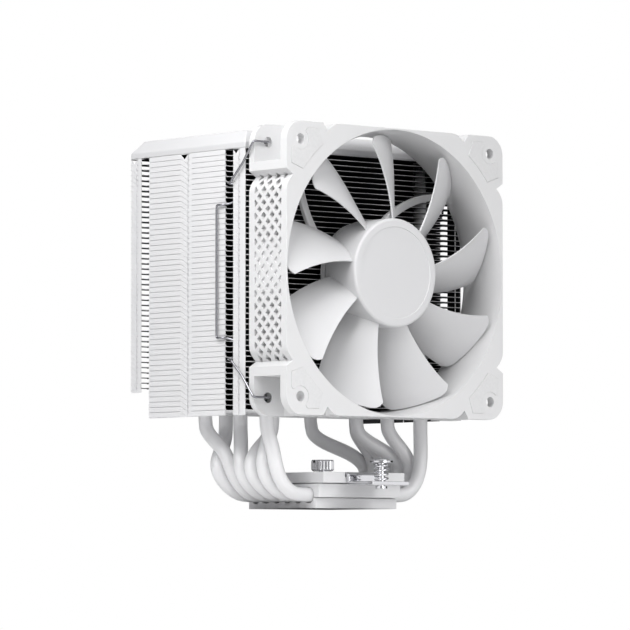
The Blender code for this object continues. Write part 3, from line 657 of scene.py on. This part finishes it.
def make_ring(name, node, inner, body, edge=0.0001):
    """Bevelled flat ring in a CAD ring's place."""
    low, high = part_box(node)
    centre = (low + high) / 2
    outer = (high.x - low.x) / 2
    profile = [(outer - edge, high.z), (outer, high.z - edge), (outer, low.z + edge)]
    profile += [(outer - edge, low.z), (inner + edge, low.z), (inner, low.z + edge)]
    profile += [(inner, high.z - edge), (inner + edge, high.z)]
    ring = turned(name, profile, 64, ring=True)
    ring.data.transform(Matrix.Translation((centre.x, centre.y, 0)))
    soften(ring.data)
    place(ring, body, "polished_steel", CHROME, node)


def make_spring_screw(side):
    """Flanged cross-recess screw, its coil spring and its retaining ring."""
    low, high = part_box(f"{side}_screw")
    centre = (low + high) / 2
    radius = (high.x - low.x) / 2
    spring_low, spring_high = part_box(f"{side}_spring")
    under_head = spring_high.z + HEAD_GAP
    edge = 0.0003
    dome = high.z - 0.0006
    neck = SHANK_RADIUS * 1.15
    profile = [(0.0, high.z), (radius * 0.62, high.z)]
    profile += [(radius * 0.70, high.z - 0.0002), (radius * 0.74, dome)]
    profile += [(radius - edge, dome), (radius, dome - edge), (radius, under_head + edge)]
    profile += [(radius - edge, under_head), (neck, under_head)]
    profile += [(neck, under_head - 0.0004), (SHANK_RADIUS, under_head - 0.0006)]
    profile += [(SHANK_RADIUS, low.z + edge), (SHANK_RADIUS - edge, low.z), (0.0, low.z)]
    screw = turned(f"sprung_screw_{side}", profile, 72)
    for number, (x, y) in enumerate(((0.0023, 0.00042), (0.00042, 0.0023))):
        cutter = slot_cutter(f"{side}_recess_{number}", x, y, high.z - 0.0010)
        combine(screw, cutter, "DIFFERENCE")
    screw = bake(screw)
    screw.data.transform(Matrix.Translation((centre.x, centre.y, 0)))
    harden(screw)
    place(screw, f"{side}_screw", "polished_steel", CHROME, f"{side}_screw")

    bottom = spring_low.z + SPRING_WIRE
    top = spring_high.z - SPRING_WIRE
    coil_radius = (spring_high.x - spring_low.x) / 2 - SPRING_WIRE
    steps = int(SPRING_TURNS * 40)
    points = []
    for i in range(steps + 1):
        turn = SPRING_TURNS * i / steps
        flat = 0.6  # the first and last part of a turn lie flat
        share = min(max((turn - flat) / (SPRING_TURNS - 2 * flat), 0.0), 1.0)
        angle = 2 * math.pi * turn
        x = centre.x + coil_radius * math.cos(angle)
        y = centre.y + coil_radius * math.sin(angle)
        points.append((x, y, bottom + share * (top - bottom)))
    spring = tube(f"coil_spring_{side}", points, SPRING_WIRE, 4)
    place(spring, "cooler", "polished_steel", CHROME, f"{side}_spring")
    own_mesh(spring)
    make_ring(f"keeper_ring_{side}", f"{side}_retaining_ring", WASHER_HOLE, f"{side}_screw_slider")


# ---------------------------------------------------------------- fins and cover


def pipe_holes():
    """Round holes, one around each pipe leg, where the CAD pipes stand in the fins."""
    holes = []
    for number in range(PIPE_COUNT):
        low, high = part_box(f"heat_pipe_{number + 1}")
        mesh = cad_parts[f"heat_pipe_{number + 1}"].data
        tips = [vertex.co for vertex in mesh.vertices if vertex.co.z > high.z - SLACK and vertex.co.x > 0]
        centre_x = (min(p.x for p in tips) + max(p.x for p in tips)) / 2
        centre_y = (min(p.y for p in tips) + max(p.y for p in tips)) / 2
        radius = (max(p.x for p in tips) - min(p.x for p in tips)) / 2 + PIPE_HOLE_MARGIN
        holes += [circle(centre_x, centre_y, radius, 20), circle(-centre_x, centre_y, radius, 20)]
    return holes


def fin_outline(rear):
    grooves = [FRONT_GROOVE] + ([REAR_GROOVE] if rear > REAR_GROOVE[1] else [])
    side = FIN_HALF_WIDTH - FIN_WALL / 2
    right = [(side, STACK_LOW.y)]
    for front_edge, rear_edge in grooves:
        inner = FIN_HALF_WIDTH - GROOVE_DEPTH
        right += [(side, front_edge), (inner, front_edge), (inner, rear_edge), (side, rear_edge)]
    right.append((side, rear))
    return right + [(-x, y) for x, y in reversed(right)]


# Folded edges along each side, as (front, rear) in depth: flat walls, sunk ridges and slanted snap tabs
FIN_WALLS = ((FRONT_GROOVE[1], 0.01370), (0.02105, REAR_GROOVE[0]))
FIN_SOLID = ((STACK_LOW.y, -0.01785), (0.01370, 0.01545), (REAR_GROOVE[1], 0.04965))
FIN_RIDGES = ((-0.01785, -0.01660), (0.01545, 0.01665), (0.04965, 0.05115))
FIN_TABS = ((-0.01660, FRONT_GROOVE[0]), (0.01665, 0.02105), (0.05115, STACK_HIGH.y - TOOTH))


def add_wall(shape, side, outline, sunk=0.0):
    """Upright wall on one side of a fin, from its outline in (depth, height)."""
    outer = FIN_HALF_WIDTH - sunk
    corners = [(side * outer, y, z) for y, z in outline]
    faces = add_prism(shape, corners, (-side * FIN_WALL, 0, 0))
    # Its inner face takes the near-black material: painted shade inside the stack
    faces[1].material_index = 1
    return faces


def strip(front, back, top, bottom):
    """Corners of an upright rectangle, in (depth, height)."""
    return [(front, top), (back, top), (back, bottom), (front, bottom)]


def fin_mesh(name, rear, kind):
    """One fin: its sheet at height zero and its folded edges hanging below it."""
    sheet = plate(f"{name}_sheet", [fin_outline(rear)] + pipe_holes(), -FIN_SHEET, 0.0)
    shape = bmesh.new()
    shape.from_mesh(sheet.data)
    bpy.data.objects.remove(sheet, do_unlink=True)
    # The sheet's flat faces take the near-black material, painted shade between the fins; only the lowest
    # fin's underside keeps the white paint
    for face in shape.faces:
        level = abs(face.normal.z) > 0.5
        white_below = kind == "bottom" and face.normal.z < -0.5
        face.material_index = 1 if level and not white_below else 0

    bottom = -FIN_PITCH + FIN_LINE
    flush = -FIN_PITCH
    for side in (-1, 1):
        for front, back in FIN_WALLS:
            add_wall(shape, side, strip(front, back, 0, bottom))
            add_wall(shape, side, strip(front, back, bottom * 0.8, flush), FIN_WALL)
        for front, back in FIN_SOLID:
            if back <= rear + SLACK:
                add_wall(shape, side, strip(front, back, 0, flush))
        for front, back in FIN_RIDGES:
            if back <= rear + SLACK:
                add_wall(shape, side, strip(front, back, 0, flush), RIDGE_DEPTH)
        for front, back in FIN_TABS:
            if back <= rear + SLACK:
                lowest = kind == "step" and front > REAR_GROOVE[1]
                add_wall(shape, side, tab_outline(front, back, "bottom" if lowest else kind), TAB_SUNK)
                if kind != "top":
                    behind = strip(front, back, 0, flush)
                    add_wall(shape, side, behind, FIN_WALL + BEHIND_SUNK)
                if back > REAR_GROOVE[1]:
                    tip = (back + TOOTH, -0.55 * FIN_PITCH)
                    tooth = [(back, -0.2 * FIN_PITCH), tip, (back, -0.9 * FIN_PITCH)]
                    add_wall(shape, side, tooth, TOOTH_SUNK)
        # A short fold, near-black on every face: painted shade deep in the rear groove
        if rear > REAR_GROOVE[1]:
            lip = strip(*REAR_GROOVE, 0, -FIN_SHADE_LIP)
            for face in add_wall(shape, side, lip, GROOVE_DEPTH + BEHIND_SUNK):
                face.material_index = 1
    mesh = mesh_from(shape, name)
    mesh.materials.append(FIN_PAINT)
    mesh.materials.append(FIN_PAINTED_SHADE)
    return mesh


def tab_outline(front, back, kind):
    """Slanted snap tab that reaches down over the next fin's edge."""
    drop = -FIN_PITCH
    line = TAB_LINE
    if kind == "bottom":
        return [(back, 0), (back, drop), (front, drop), (front, drop + line)]
    if kind == "top":
        notch_top = 0.2 * drop
        notch = ((front + back) / 2, 1.1 * drop)
        tab = [(back, notch_top), (back, drop + line), (front, 2 * drop + line)]
        return tab + [(front, notch_top), notch]
    return [(back, 0), (back, drop + line), (front, 2 * drop + line), (front, drop)]


def fin_kind(number):
    if number == 0:
        return "bottom"
    if number < SHORT_FIN_COUNT:
        return "short"
    if number == SHORT_FIN_COUNT:
        return "step"
    return "top" if number == FIN_COUNT - 1 else "full"


def make_fins():
    meshes = {
        "bottom": fin_mesh("fin_bottom", SHORT_FIN_REAR, "bottom"),
        "short": fin_mesh("fin_short", SHORT_FIN_REAR, "short"),
        "step": fin_mesh("fin_step", STACK_HIGH.y, "step"),
        "full": fin_mesh("fin_full", STACK_HIGH.y, "full"),
        "top": fin_mesh("fin_top", STACK_HIGH.y, "top"),
    }
    for number in range(FIN_COUNT):
        fin = new_object(f"cooling_fin_{number + 1:02d}", meshes[fin_kind(number)])
        fin.location.z = STACK_BOTTOM + (number + 1) * FIN_PITCH - FIN_DROP
        nodes = [f"fin_{number // FINS_PER_NODE + 1:02d}"] if number % FINS_PER_NODE == 0 else []
        place(fin, "cooler", "fin_paint", None, *nodes)


def make_cover():
    cover = cad_copy("bevelled_cover", "top_cover")
    bevel(cover, COVER_EDGE, angle=math.radians(15))
    cover = bake(cover)
    harden(cover, math.radians(30))
    place(cover, "cooler", "cover_paint", COVER_SHADED_PAINT, "top_cover")


# ---------------------------------------------------------------- fan frame


def side_edge():
    """Right edge of the fan's outline, from the lower pod to the upper one, with its two notches."""
    upper = [(FAN_HALF, POD_START)]
    for share in (0.0, 0.25, 0.5, 0.75, 1.0):
        reach = FAN_HALF - NOTCH_DEPTH * (1 - share) ** 2
        upper.append((reach, NOTCH_AT - (NOTCH_AT - PANEL_END) * share))
    lower = [(x, -up) for x, up in upper]
    return lower + upper[::-1]


CORNERS = ((1, 1), (-1, 1), (-1, -1), (1, -1))  # signs of x and up, one for each quarter turn


def quarter_turned(points, quarter):
    turn = Matrix.Rotation(quarter * math.pi / 2, 2)
    return [tuple(turn @ Vector(point)) for point in points]


def fan_outline():
    corner = FAN_HALF - FAN_CORNER
    one_side = side_edge() + arc(corner, corner, FAN_CORNER, 0.0, math.pi / 2, 8)
    outline = []
    for quarter in range(4):
        outline += quarter_turned(one_side, quarter)
    return outline


def cavity_outline():
    """Hollow behind the upper half of one side's lattice panel, out from the ring's wall."""
    panel = FAN_HALF - PANEL_THICKNESS
    pod_wall = POD_START + 0.0014
    ring_start = math.acos(panel / RING_OUTER)
    ring_end = math.asin(pod_wall / RING_OUTER)
    points = arc(0, 0, RING_OUTER, ring_end, ring_start, 12)
    return points + [(panel, PANEL_END - 0.0004), (panel - NOTCH_DEPTH, NOTCH_AT + 0.0015)]


def pocket_outline():
    """Hollow behind a corner's pad, open at the frame's two outer sides."""
    near = POD_START + POD_WALL
    far = FAN_HALF + 0.002
    return [(near, near), (far, near), (far, far), (near, far)]


def pad_outline(quarter, grow):
    """Edge of a corner pad: two arms around the screw's boss, and an arc about the fan's middle."""
    outer = PAD_OUTER + grow
    arm = PAD_ARM + grow
    heel = PAD_HEEL - grow
    boss = BOSS_RADIUS - grow
    toe_near, toe_far = PAD_TOE[0] - grow, PAD_TOE[1] - grow
    bend = PAD_ARM_CORNER
    boss_start = -math.asin((HOLE_OFFSET - arm) / boss)
    points = [(toe_far, toe_near), (outer, heel)]
    points += arc(outer - bend, arm - bend, bend, 0.0, math.pi / 2, 4)
    points += arc(HOLE_OFFSET, HOLE_OFFSET, boss, boss_start, -1.5 * math.pi - boss_start, 16)
    points += arc(arm - bend, outer - bend, bend, 0.0, math.pi / 2, 4)
    points += [(heel, outer)]
    toe_angle = math.atan2(toe_far, toe_near)
    points += arc(0, 0, math.hypot(toe_near, toe_far), toe_angle, math.pi / 2 - toe_angle, 8)[:-1]
    return quarter_turned(points, quarter)


def lattice_cutter(quarter):
    """Diamonds for one side's panel, each reaching in to the ring's wall."""
    shape = bmesh.new()
    low, high = LATTICE_DEPTHS
    columns = round(high / LATTICE_PITCH) + 1
    shift_depth, shift_up = LATTICE_SHIFT
    for row in range(-LATTICE_ROWS, LATTICE_ROWS + 1):
        up = row * LATTICE_PITCH + shift_up
        floor = math.sqrt((RING_OUTER + 0.00002) ** 2 - max(abs(up) - LATTICE_HALF, 0.0) ** 2)
        for column in range(1, columns + 1):
            if (row + column) % 2:
                continue
            depth = column * LATTICE_PITCH + shift_depth
            near = max(depth - LATTICE_HALF, low)
            far = min(depth + LATTICE_HALF, high)
            if far - near > 0.0003:
                add_diamond(shape, floor, up, depth, near, far)
    name = f"lattice_{quarter}"
    cutter = new_object(name, mesh_from(shape, name))
    cutter.data.transform(Matrix.Rotation(quarter * math.pi / 2, 4, "Z"))
    return cutter


def add_diamond(shape, floor, up, depth, near, far):
    """Diamond prism that points along X, cut off where it runs past the lattice's two ends."""
    levels = sorted({near, min(max(depth, near), far), far})
    widths = [(level, max(LATTICE_HALF - abs(level - depth), 0.0)) for level in levels]
    corners = [(floor, up + half, level) for level, half in widths]
    corners += [(floor, up - half, level) for level, half in reversed(widths) if half > 0.000001]
    add_prism(shape, corners, (FAN_HALF - floor + 0.002, 0, 0))


def strut(number):
    """Curved arm from the motor mount to the ring's wall."""
    overlap = 0.001
    inset = 0.0002
    inner = MOUNT_RADIUS - overlap
    outer = RING_OUTER - overlap
    steps = 16
    left, right = [], []
    for i in range(steps + 1):
        radius = inner + (outer - inner) * i / steps
        angle = STRUT_OUTER_ANGLE + STRUT_SWEEP * (1 - i / steps) + number * math.pi / 2
        width = STRUT_HALF_WIDTH / radius
        left.append((radius * math.cos(angle + width), radius * math.sin(angle + width)))
        right.append((radius * math.cos(angle - width), radius * math.sin(angle - width)))
    arm = plate(f"strut_{number}", [left + right[::-1]], MOUNT_FRONT + inset, MOUNT_REAR - inset)
    bevel(arm, 0.0006)
    return arm


def motor_mount():
    """Disc behind the hub, with the bearing's tube in front of it and the seal's seat behind."""
    tube_inner = 0.0036
    tube_outer = 0.0046
    tube_front = 0.0045
    seal_radius = 0.0080
    seal_floor = 0.0230
    edge = 0.0006
    profile = [(tube_outer, tube_front), (tube_outer, MOUNT_FRONT), (MOUNT_RADIUS - edge, MOUNT_FRONT)]
    profile += [(MOUNT_RADIUS, MOUNT_FRONT + edge), (MOUNT_RADIUS, MOUNT_REAR - edge)]
    profile += [(MOUNT_RADIUS - edge, MOUNT_REAR), (seal_radius, MOUNT_REAR), (seal_radius, seal_floor)]
    profile += [(tube_inner, seal_floor), (tube_inner, tube_front)]
    return turned("mount", profile, 96, ring=True)


def cut_plate(shell, name, outlines, low, high):
    combine(shell, plate(name, outlines, low, high), "DIFFERENCE")


def make_fan_frame():
    rim = plate("rim", [fan_outline()], FACE, SHELL_REAR)
    bevel(rim, RIM_EDGE, 4)
    shell = bake(rim)
    bore_profile = [(0.0, -PAST), (LIP_RADIUS + 0.0001, -PAST), (LIP_RADIUS, 0.0)]
    bore_profile += [(BORE_RADIUS, FRONT_FLARE_END), (BORE_RADIUS, REAR_FLARE_START)]
    bore_profile += [(LIP_RADIUS, FAN_DEPTH), (LIP_RADIUS, FAN_DEPTH + PAST), (0.0, FAN_DEPTH + PAST)]
    combine(shell, turned("bore", bore_profile, 160), "DIFFERENCE")
    for quarter, (side_x, side_up) in enumerate(CORNERS):
        hole_x, hole_up = side_x * HOLE_OFFSET, side_up * HOLE_OFFSET
        pocket = quarter_turned(pocket_outline(), quarter)
        cut_plate(shell, f"pocket_{quarter}", [pocket], FLANGE, REAR_FLANGE_START)
        for half, sign in (("upper", 1), ("lower", -1)):
            cavity = quarter_turned([(x, sign * up) for x, up in cavity_outline()], quarter)
            cut_plate(shell, f"cavity_{half}_{quarter}", [cavity], FLANGE, REAR_FLANGE_START)
        cut_plate(shell, f"recess_{quarter}", [pad_outline(quarter, PAD_LINE)], -PAST, PAD_RECESS + FACE)
        hole = circle(hole_x, hole_up, HOLE_RADIUS, 32)
        cut_plate(shell, f"hole_{quarter}", [hole], -PAST, FAN_DEPTH + PAST)
        relief = circle(hole_x, hole_up, RELIEF_RADIUS, 32)
        cut_plate(shell, f"relief_{quarter}", [relief], REAR_FLANGE_START + RELIEF_SKIN, FAN_DEPTH + PAST)
    shell = bake(shell)
    bevel(shell, CUT_EDGE, 2, math.radians(60))
    shell = bake(shell)
    for quarter in range(4):
        combine(shell, lattice_cutter(quarter), "DIFFERENCE")
    parts = [shell, motor_mount()] + [strut(number) for number in range(STRUT_COUNT)]
    body = to_fan(joined("fan_shroud", parts))
    harden(body)
    place(body, "fan", "frame_plastic", FRAME_PLASTIC, "fan_frame")


def make_pads():
    for face in ("front", "rear"):
        for number in range(1, 5):
            node = f"{face}_pad_{number}"
            low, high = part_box(node)
            side_x = 1 if low.x > 0 else -1
            side_up = 1 if low.z > FAN_CENTRE_Z else -1
            quarter = CORNERS.index((side_x, side_up))
            start = low.y - FAN_FRONT if face == "front" else SHELL_REAR
            end = high.y - FAN_FRONT
            pad = plate(f"corner_{node}", [pad_outline(quarter, 0.0)], start, end)
            bevel(pad, PAD_EDGE, 3)
            pad = to_fan(bake(pad))
            harden(pad)
            place(pad, "fan", "pad_rubber", PAD_RUBBER, node)


# ---------------------------------------------------------------- impeller


def blade_point(across, along):
    """Point on a blade's middle surface in (x, up, depth).

    across runs from the leading to the trailing edge, and along from root to tip.
    """
    tip = BLADE_TIP_RADIUS - BLADE_TIP_ROUNDING * abs(2 * across - 1) ** 9
    radius = BLADE_ROOT_RADIUS + along * (tip - BLADE_ROOT_RADIUS)
    width = BLADE_ROOT_WIDTH + along * (BLADE_TIP_WIDTH - BLADE_ROOT_WIDTH)
    angle = BLADE_SWEEP * along + (0.5 - across) * width
    leading = BLADE_LEADING_DEPTHS[0] + along * (BLADE_LEADING_DEPTHS[1] - BLADE_LEADING_DEPTHS[0])
    trailing = BLADE_TRAILING_DEPTHS[0] + along * (BLADE_TRAILING_DEPTHS[1] - BLADE_TRAILING_DEPTHS[0])
    depth = leading + across * (trailing - leading) - BLADE_CAMBER * math.sin(math.pi * across)
    return Vector((radius * math.cos(angle), radius * math.sin(angle), depth))


def blade_normal(across, along):
    """Direction square to a blade's middle surface, from two short steps along it."""
    step = 0.01
    before, after = max(across - step, 0), min(across + step, 1)
    nearer, further = max(along - step, 0), min(along + step, 1)
    ahead = blade_point(after, along) - blade_point(before, along)
    outward = blade_point(across, further) - blade_point(across, nearer)
    return ahead.cross(outward).normalized()


def blade_half_thickness(across, along):
    """Half thickness: an aerofoil across the blade, thinner towards the tip."""
    foil = math.sin(math.pi * min(max(across, 0.02), 0.98)) ** 0.5
    return BLADE_THICKNESS / 2 * (1.0 - 0.35 * along) * (0.35 + 0.65 * foil)


def add_blade(shape, turn):
    columns, rows = 22, 26
    layers = []
    for sign in (1, -1):
        grid = []
        for row in range(rows + 1):
            line = []
            for column in range(columns + 1):
                across, along = column / columns, row / rows
                middle = blade_point(across, along)
                normal = blade_normal(across, along)
                point = middle + sign * normal * blade_half_thickness(across, along)
                line.append(shape.verts.new(turn @ point))
            grid.append(line)
        layers.append(grid)
    top, under = layers
    for row in range(rows):
        for column in range(columns):
            for grid in (top, under):
                near, far = grid[row], grid[row + 1]
                shape.faces.new((near[column], near[column + 1], far[column + 1], far[column]))
    rim = [(0, c) for c in range(columns)] + [(r, columns) for r in range(rows)]
    rim += [(rows, c) for c in range(columns, 0, -1)] + [(r, 0) for r in range(rows, 0, -1)]
    for (r0, c0), (r1, c1) in zip(rim, rim[1:] + rim[:1]):
        shape.faces.new((top[r0][c0], top[r1][c1], under[r1][c1], under[r0][c0]))


def make_impeller():
    inner = HUB_RADIUS - HUB_WALL
    profile = [(0.0, HUB_FRONT + HUB_INSET_DEPTH), (HUB_INSET_RADIUS, HUB_FRONT + HUB_INSET_DEPTH)]
    profile += [(HUB_INSET_RADIUS + 0.00015, HUB_FRONT)]
    profile += arc(HUB_RADIUS - HUB_EDGE, HUB_FRONT + HUB_EDGE, HUB_EDGE, -math.pi / 2, 0.0, 6)
    profile += [(HUB_RADIUS, HUB_REAR), (inner, HUB_REAR), (inner, HUB_INSIDE), (0.0, HUB_INSIDE)]
    hub = turned("hub", profile, 128)
    shape = bmesh.new()
    for number in range(BLADE_COUNT):
        add_blade(shape, Matrix.Rotation(BLADE_START + 2 * math.pi * number / BLADE_COUNT, 3, "Z"))
    blades = new_object("blades", mesh_from(shape, "blades"))
    impeller = to_fan(joined("fan_impeller", [hub, blades]))
    soften(impeller.data, math.radians(50))
    place(impeller, "rotor", "impeller_plastic", IMPELLER_PLASTIC, "impeller")


# ---------------------------------------------------------------- clips, motor, stage


def clip_line(side):
    """The clip's line, from its upper hook around its handle to its lower hook."""
    low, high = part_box("fan_clip_left")
    outside = -low.x - CLIP_WIRE
    surface = FIN_HALF_WIDTH - 0.0008
    inside = FIN_HALF_WIDTH - GROOVE_DEPTH + CLIP_WIRE
    hook = HOLE_OFFSET
    hook_depth = 0.0195
    handle_depth = high.y - FAN_FRONT - CLIP_WIRE - 0.0013
    handle_up = 0.0275
    groove_front = FRONT_GROOVE[0] - FAN_FRONT
    groove_rear = FRONT_GROOVE[1] - FAN_FRONT
    upper = [
        (hook, 0.0238, HOLE_OFFSET),
        (hook, hook_depth, HOLE_OFFSET),
        (outside, hook_depth, HOLE_OFFSET),
        (outside, 0.0270, 0.0434),
        (outside, groove_front, 0.0368),
        (surface, groove_rear - 0.0008, 0.0364),
        (inside, groove_front + 0.0009, 0.0356),
        (inside, groove_front + 0.0009, 0.0290),
        (surface, groove_rear - 0.0008, 0.0277),
        (outside, groove_rear + 0.0004, handle_up),
        (outside, handle_depth, handle_up),
    ]
    line = upper + [(x, depth, -up) for x, depth, up in reversed(upper)]
    return [Vector((side * x, FAN_FRONT + depth, FAN_CENTRE_Z + up)) for x, depth, up in line]


def make_clips():
    for label, side in (("left", -1), ("right", 1)):
        clip = tube(f"wire_clip_{label}", rounded_path(clip_line(side), CLIP_BEND), CLIP_WIRE, 6)
        place(clip, f"clip_{label}", "clip_wire", CLIP_STEEL, f"fan_clip_{label}")


def finish_motor():
    """Materials for the CAD nodes that stay as they are, inside the hub."""
    finishes = {
        "fan_circuit_board": BOARD,
        "stator_core": MOTOR_STEEL,
        "bearing_sleeve": BRASS,
        "motor_seal": SEAL_PLASTIC,
        "rotor_yoke": MOTOR_STEEL,
        "rotor_magnet": MAGNET,
        "fan_shaft": MOTOR_STEEL,
        "shaft_clip": MOTOR_STEEL,
    }
    for number in range(1, 5):
        finishes[f"stator_coil_{number}"] = COPPER
    for node, material in finishes.items():
        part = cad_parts[node]
        part.data.materials.clear()
        part.data.materials.append(material)


def pale_floor():
    """Pale floor that fades into the backdrop, seen only from above."""
    shape = bmesh.new()
    bmesh.ops.create_grid(shape, x_segments=1, y_segments=1, size=0.5)
    floor = new_object("floor", mesh_from(shape, "floor"))
    floor.location.z = -0.0001
    nodes = Nodes("pale_floor")
    clouds = nodes.remap(nodes.noise(3, 3), 0.0, 1.0)
    nodes.colour(nodes.blend_colours(clouds, (0.84, 0.84, 0.84), (0.88, 0.88, 0.88)))
    nodes.rough(nodes.remap(nodes.noise(40, 3), 0.55, 0.7))
    side = nodes.add("ShaderNodeNewGeometry")
    reach = nodes.add("ShaderNodeVectorMath", operation="LENGTH")
    nodes.link(nodes.place, reach, 0)
    fade = nodes.add("ShaderNodeMapRange", interpolation_type="SMOOTHSTEP")
    fade.inputs["From Min"].default_value = 0.10
    fade.inputs["From Max"].default_value = 0.45
    nodes.link(reach.outputs["Value"], fade, "Value")
    hidden = nodes.add("ShaderNodeMath", operation="MAXIMUM")
    nodes.link(side.outputs["Backfacing"], hidden, 0)
    nodes.link(fade.outputs["Result"], hidden, 1)
    clear = nodes.add("ShaderNodeBsdfTransparent")
    mix = nodes.add("ShaderNodeMixShader")
    nodes.link(hidden.outputs[0], mix, 0)
    nodes.link(nodes.shader.outputs["BSDF"], mix, 1)
    nodes.link(clear.outputs["BSDF"], mix, 2)
    nodes.link(mix.outputs["Shader"], nodes.tree.nodes["Material Output"], "Surface")
    floor.data.materials.append(nodes.material)


def colour_steps(tree, value, steps):
    ramp = tree.nodes.new("ShaderNodeValToRGB")
    elements = ramp.color_ramp.elements
    while len(elements) < len(steps):
        elements.new(0.5)
    for element, (position, grey) in zip(elements, steps):
        element.position = position
        element.color = (grey, grey, grey * 1.01, 1)
    tree.links.new(value, ramp.inputs["Fac"])
    return ramp.outputs["Color"]


# Brightness that metal mirrors, from the camera's side (0) round to the far side (1)
FLAG_STEPS = ((0.0, 0.35), (0.03, 0.5), (0.07, 1.05), (0.50, 1.05), (0.60, 0.30), (0.68, 0.02))


def white_world():
    """White backdrop, a studio that darkens towards the floor, and dark flags for metal to mirror."""
    world = bpy.data.worlds.new("studio")
    bpy.context.scene.world = world
    world.use_nodes = True
    tree = world.node_tree
    coordinates = tree.nodes.new("ShaderNodeTexCoord")
    split = tree.nodes.new("ShaderNodeSeparateXYZ")
    tree.links.new(coordinates.outputs["Generated"], split.inputs[0])
    height = tree.nodes.new("ShaderNodeMapRange")
    height.inputs["From Min"].default_value = -1.0
    tree.links.new(split.outputs["Z"], height.inputs["Value"])
    room = colour_steps(tree, height.outputs["Result"], ((0.35, 0.04), (0.5, 0.22), (0.8, 0.54)))
    facing = tree.nodes.new("ShaderNodeVectorMath")
    facing.operation = "DOT_PRODUCT"
    facing.inputs[1].default_value = (0.65, 0.76, 0.0)
    tree.links.new(coordinates.outputs["Generated"], facing.inputs[0])
    behind = tree.nodes.new("ShaderNodeMapRange")
    behind.inputs["From Min"].default_value = -1.0
    tree.links.new(facing.outputs["Value"], behind.inputs["Value"])
    flags = colour_steps(tree, behind.outputs["Result"], FLAG_STEPS)
    path = tree.nodes.new("ShaderNodeLightPath")
    lit = mix_colours(tree, path.outputs["Is Glossy Ray"], room, flags)
    seen = mix_colours(tree, path.outputs["Is Camera Ray"], lit, (1.0, 1.0, 1.0, 1.0))
    background = tree.nodes["Background"]
    tree.links.new(seen, background.inputs["Color"])
    background.inputs["Strength"].default_value = 1.0


def soft_light(name, place_at, target, size, power):
    light = bpy.data.lights.new(name, "AREA")
    light.shape = "RECTANGLE"
    light.size = size
    light.size_y = size
    light.energy = power
    lamp = new_object(name, light)
    lamp.location = place_at
    lamp.rotation_euler = (Vector(target) - Vector(place_at)).to_track_quat("-Z", "Y").to_euler()


def make_lights():
    middle = (0.0, 0.0, 0.08)
    soft_light("key", (-0.25, -0.10, 0.30), middle, 0.25, 1.0)
    soft_light("front", (0.45, -1.2, 0.95), middle, 0.8, 6.2)
    soft_light("low", (-0.05, -0.9, 0.05), (0.0, 0.0, 0.03), 0.5, 1.4)
    soft_light("top", (0.0, 0.2, 1.2), middle, 0.8, 0.5)


def make_camera():
    """Long lens from the front left, just under the base and looking slightly up."""
    lens = bpy.data.cameras.new("camera")
    lens.sensor_width = 36.0
    lens.lens = 253.4
    lens.clip_start = 0.05
    lens.clip_end = 50.0
    camera = new_object("camera", lens)
    yaw = math.radians(40.576)
    pitch = math.radians(3.155)
    camera.location = Vector((-1.21937, -1.41892, -0.0212))
    camera.rotation_euler = (math.pi / 2 + pitch, 0.0, -yaw)
    bpy.context.scene.camera = camera
    bpy.context.scene.view_settings.view_transform = "Standard"


def make_all():
    make_base()
    make_pipes()
    make_bar()
    make_thumb_screw()
    make_ring("thrust_washer", "thumb_screw_washer", WASHER_HOLE, "thumb_screw_lifter")
    for side in ("front", "rear"):
        make_spring_screw(side)
    make_fins()
    make_cover()
    make_fan_frame()
    make_pads()
    make_impeller()
    make_clips()
    finish_motor()
    pale_floor()
    white_world()
    make_lights()
    make_camera()


make_all()
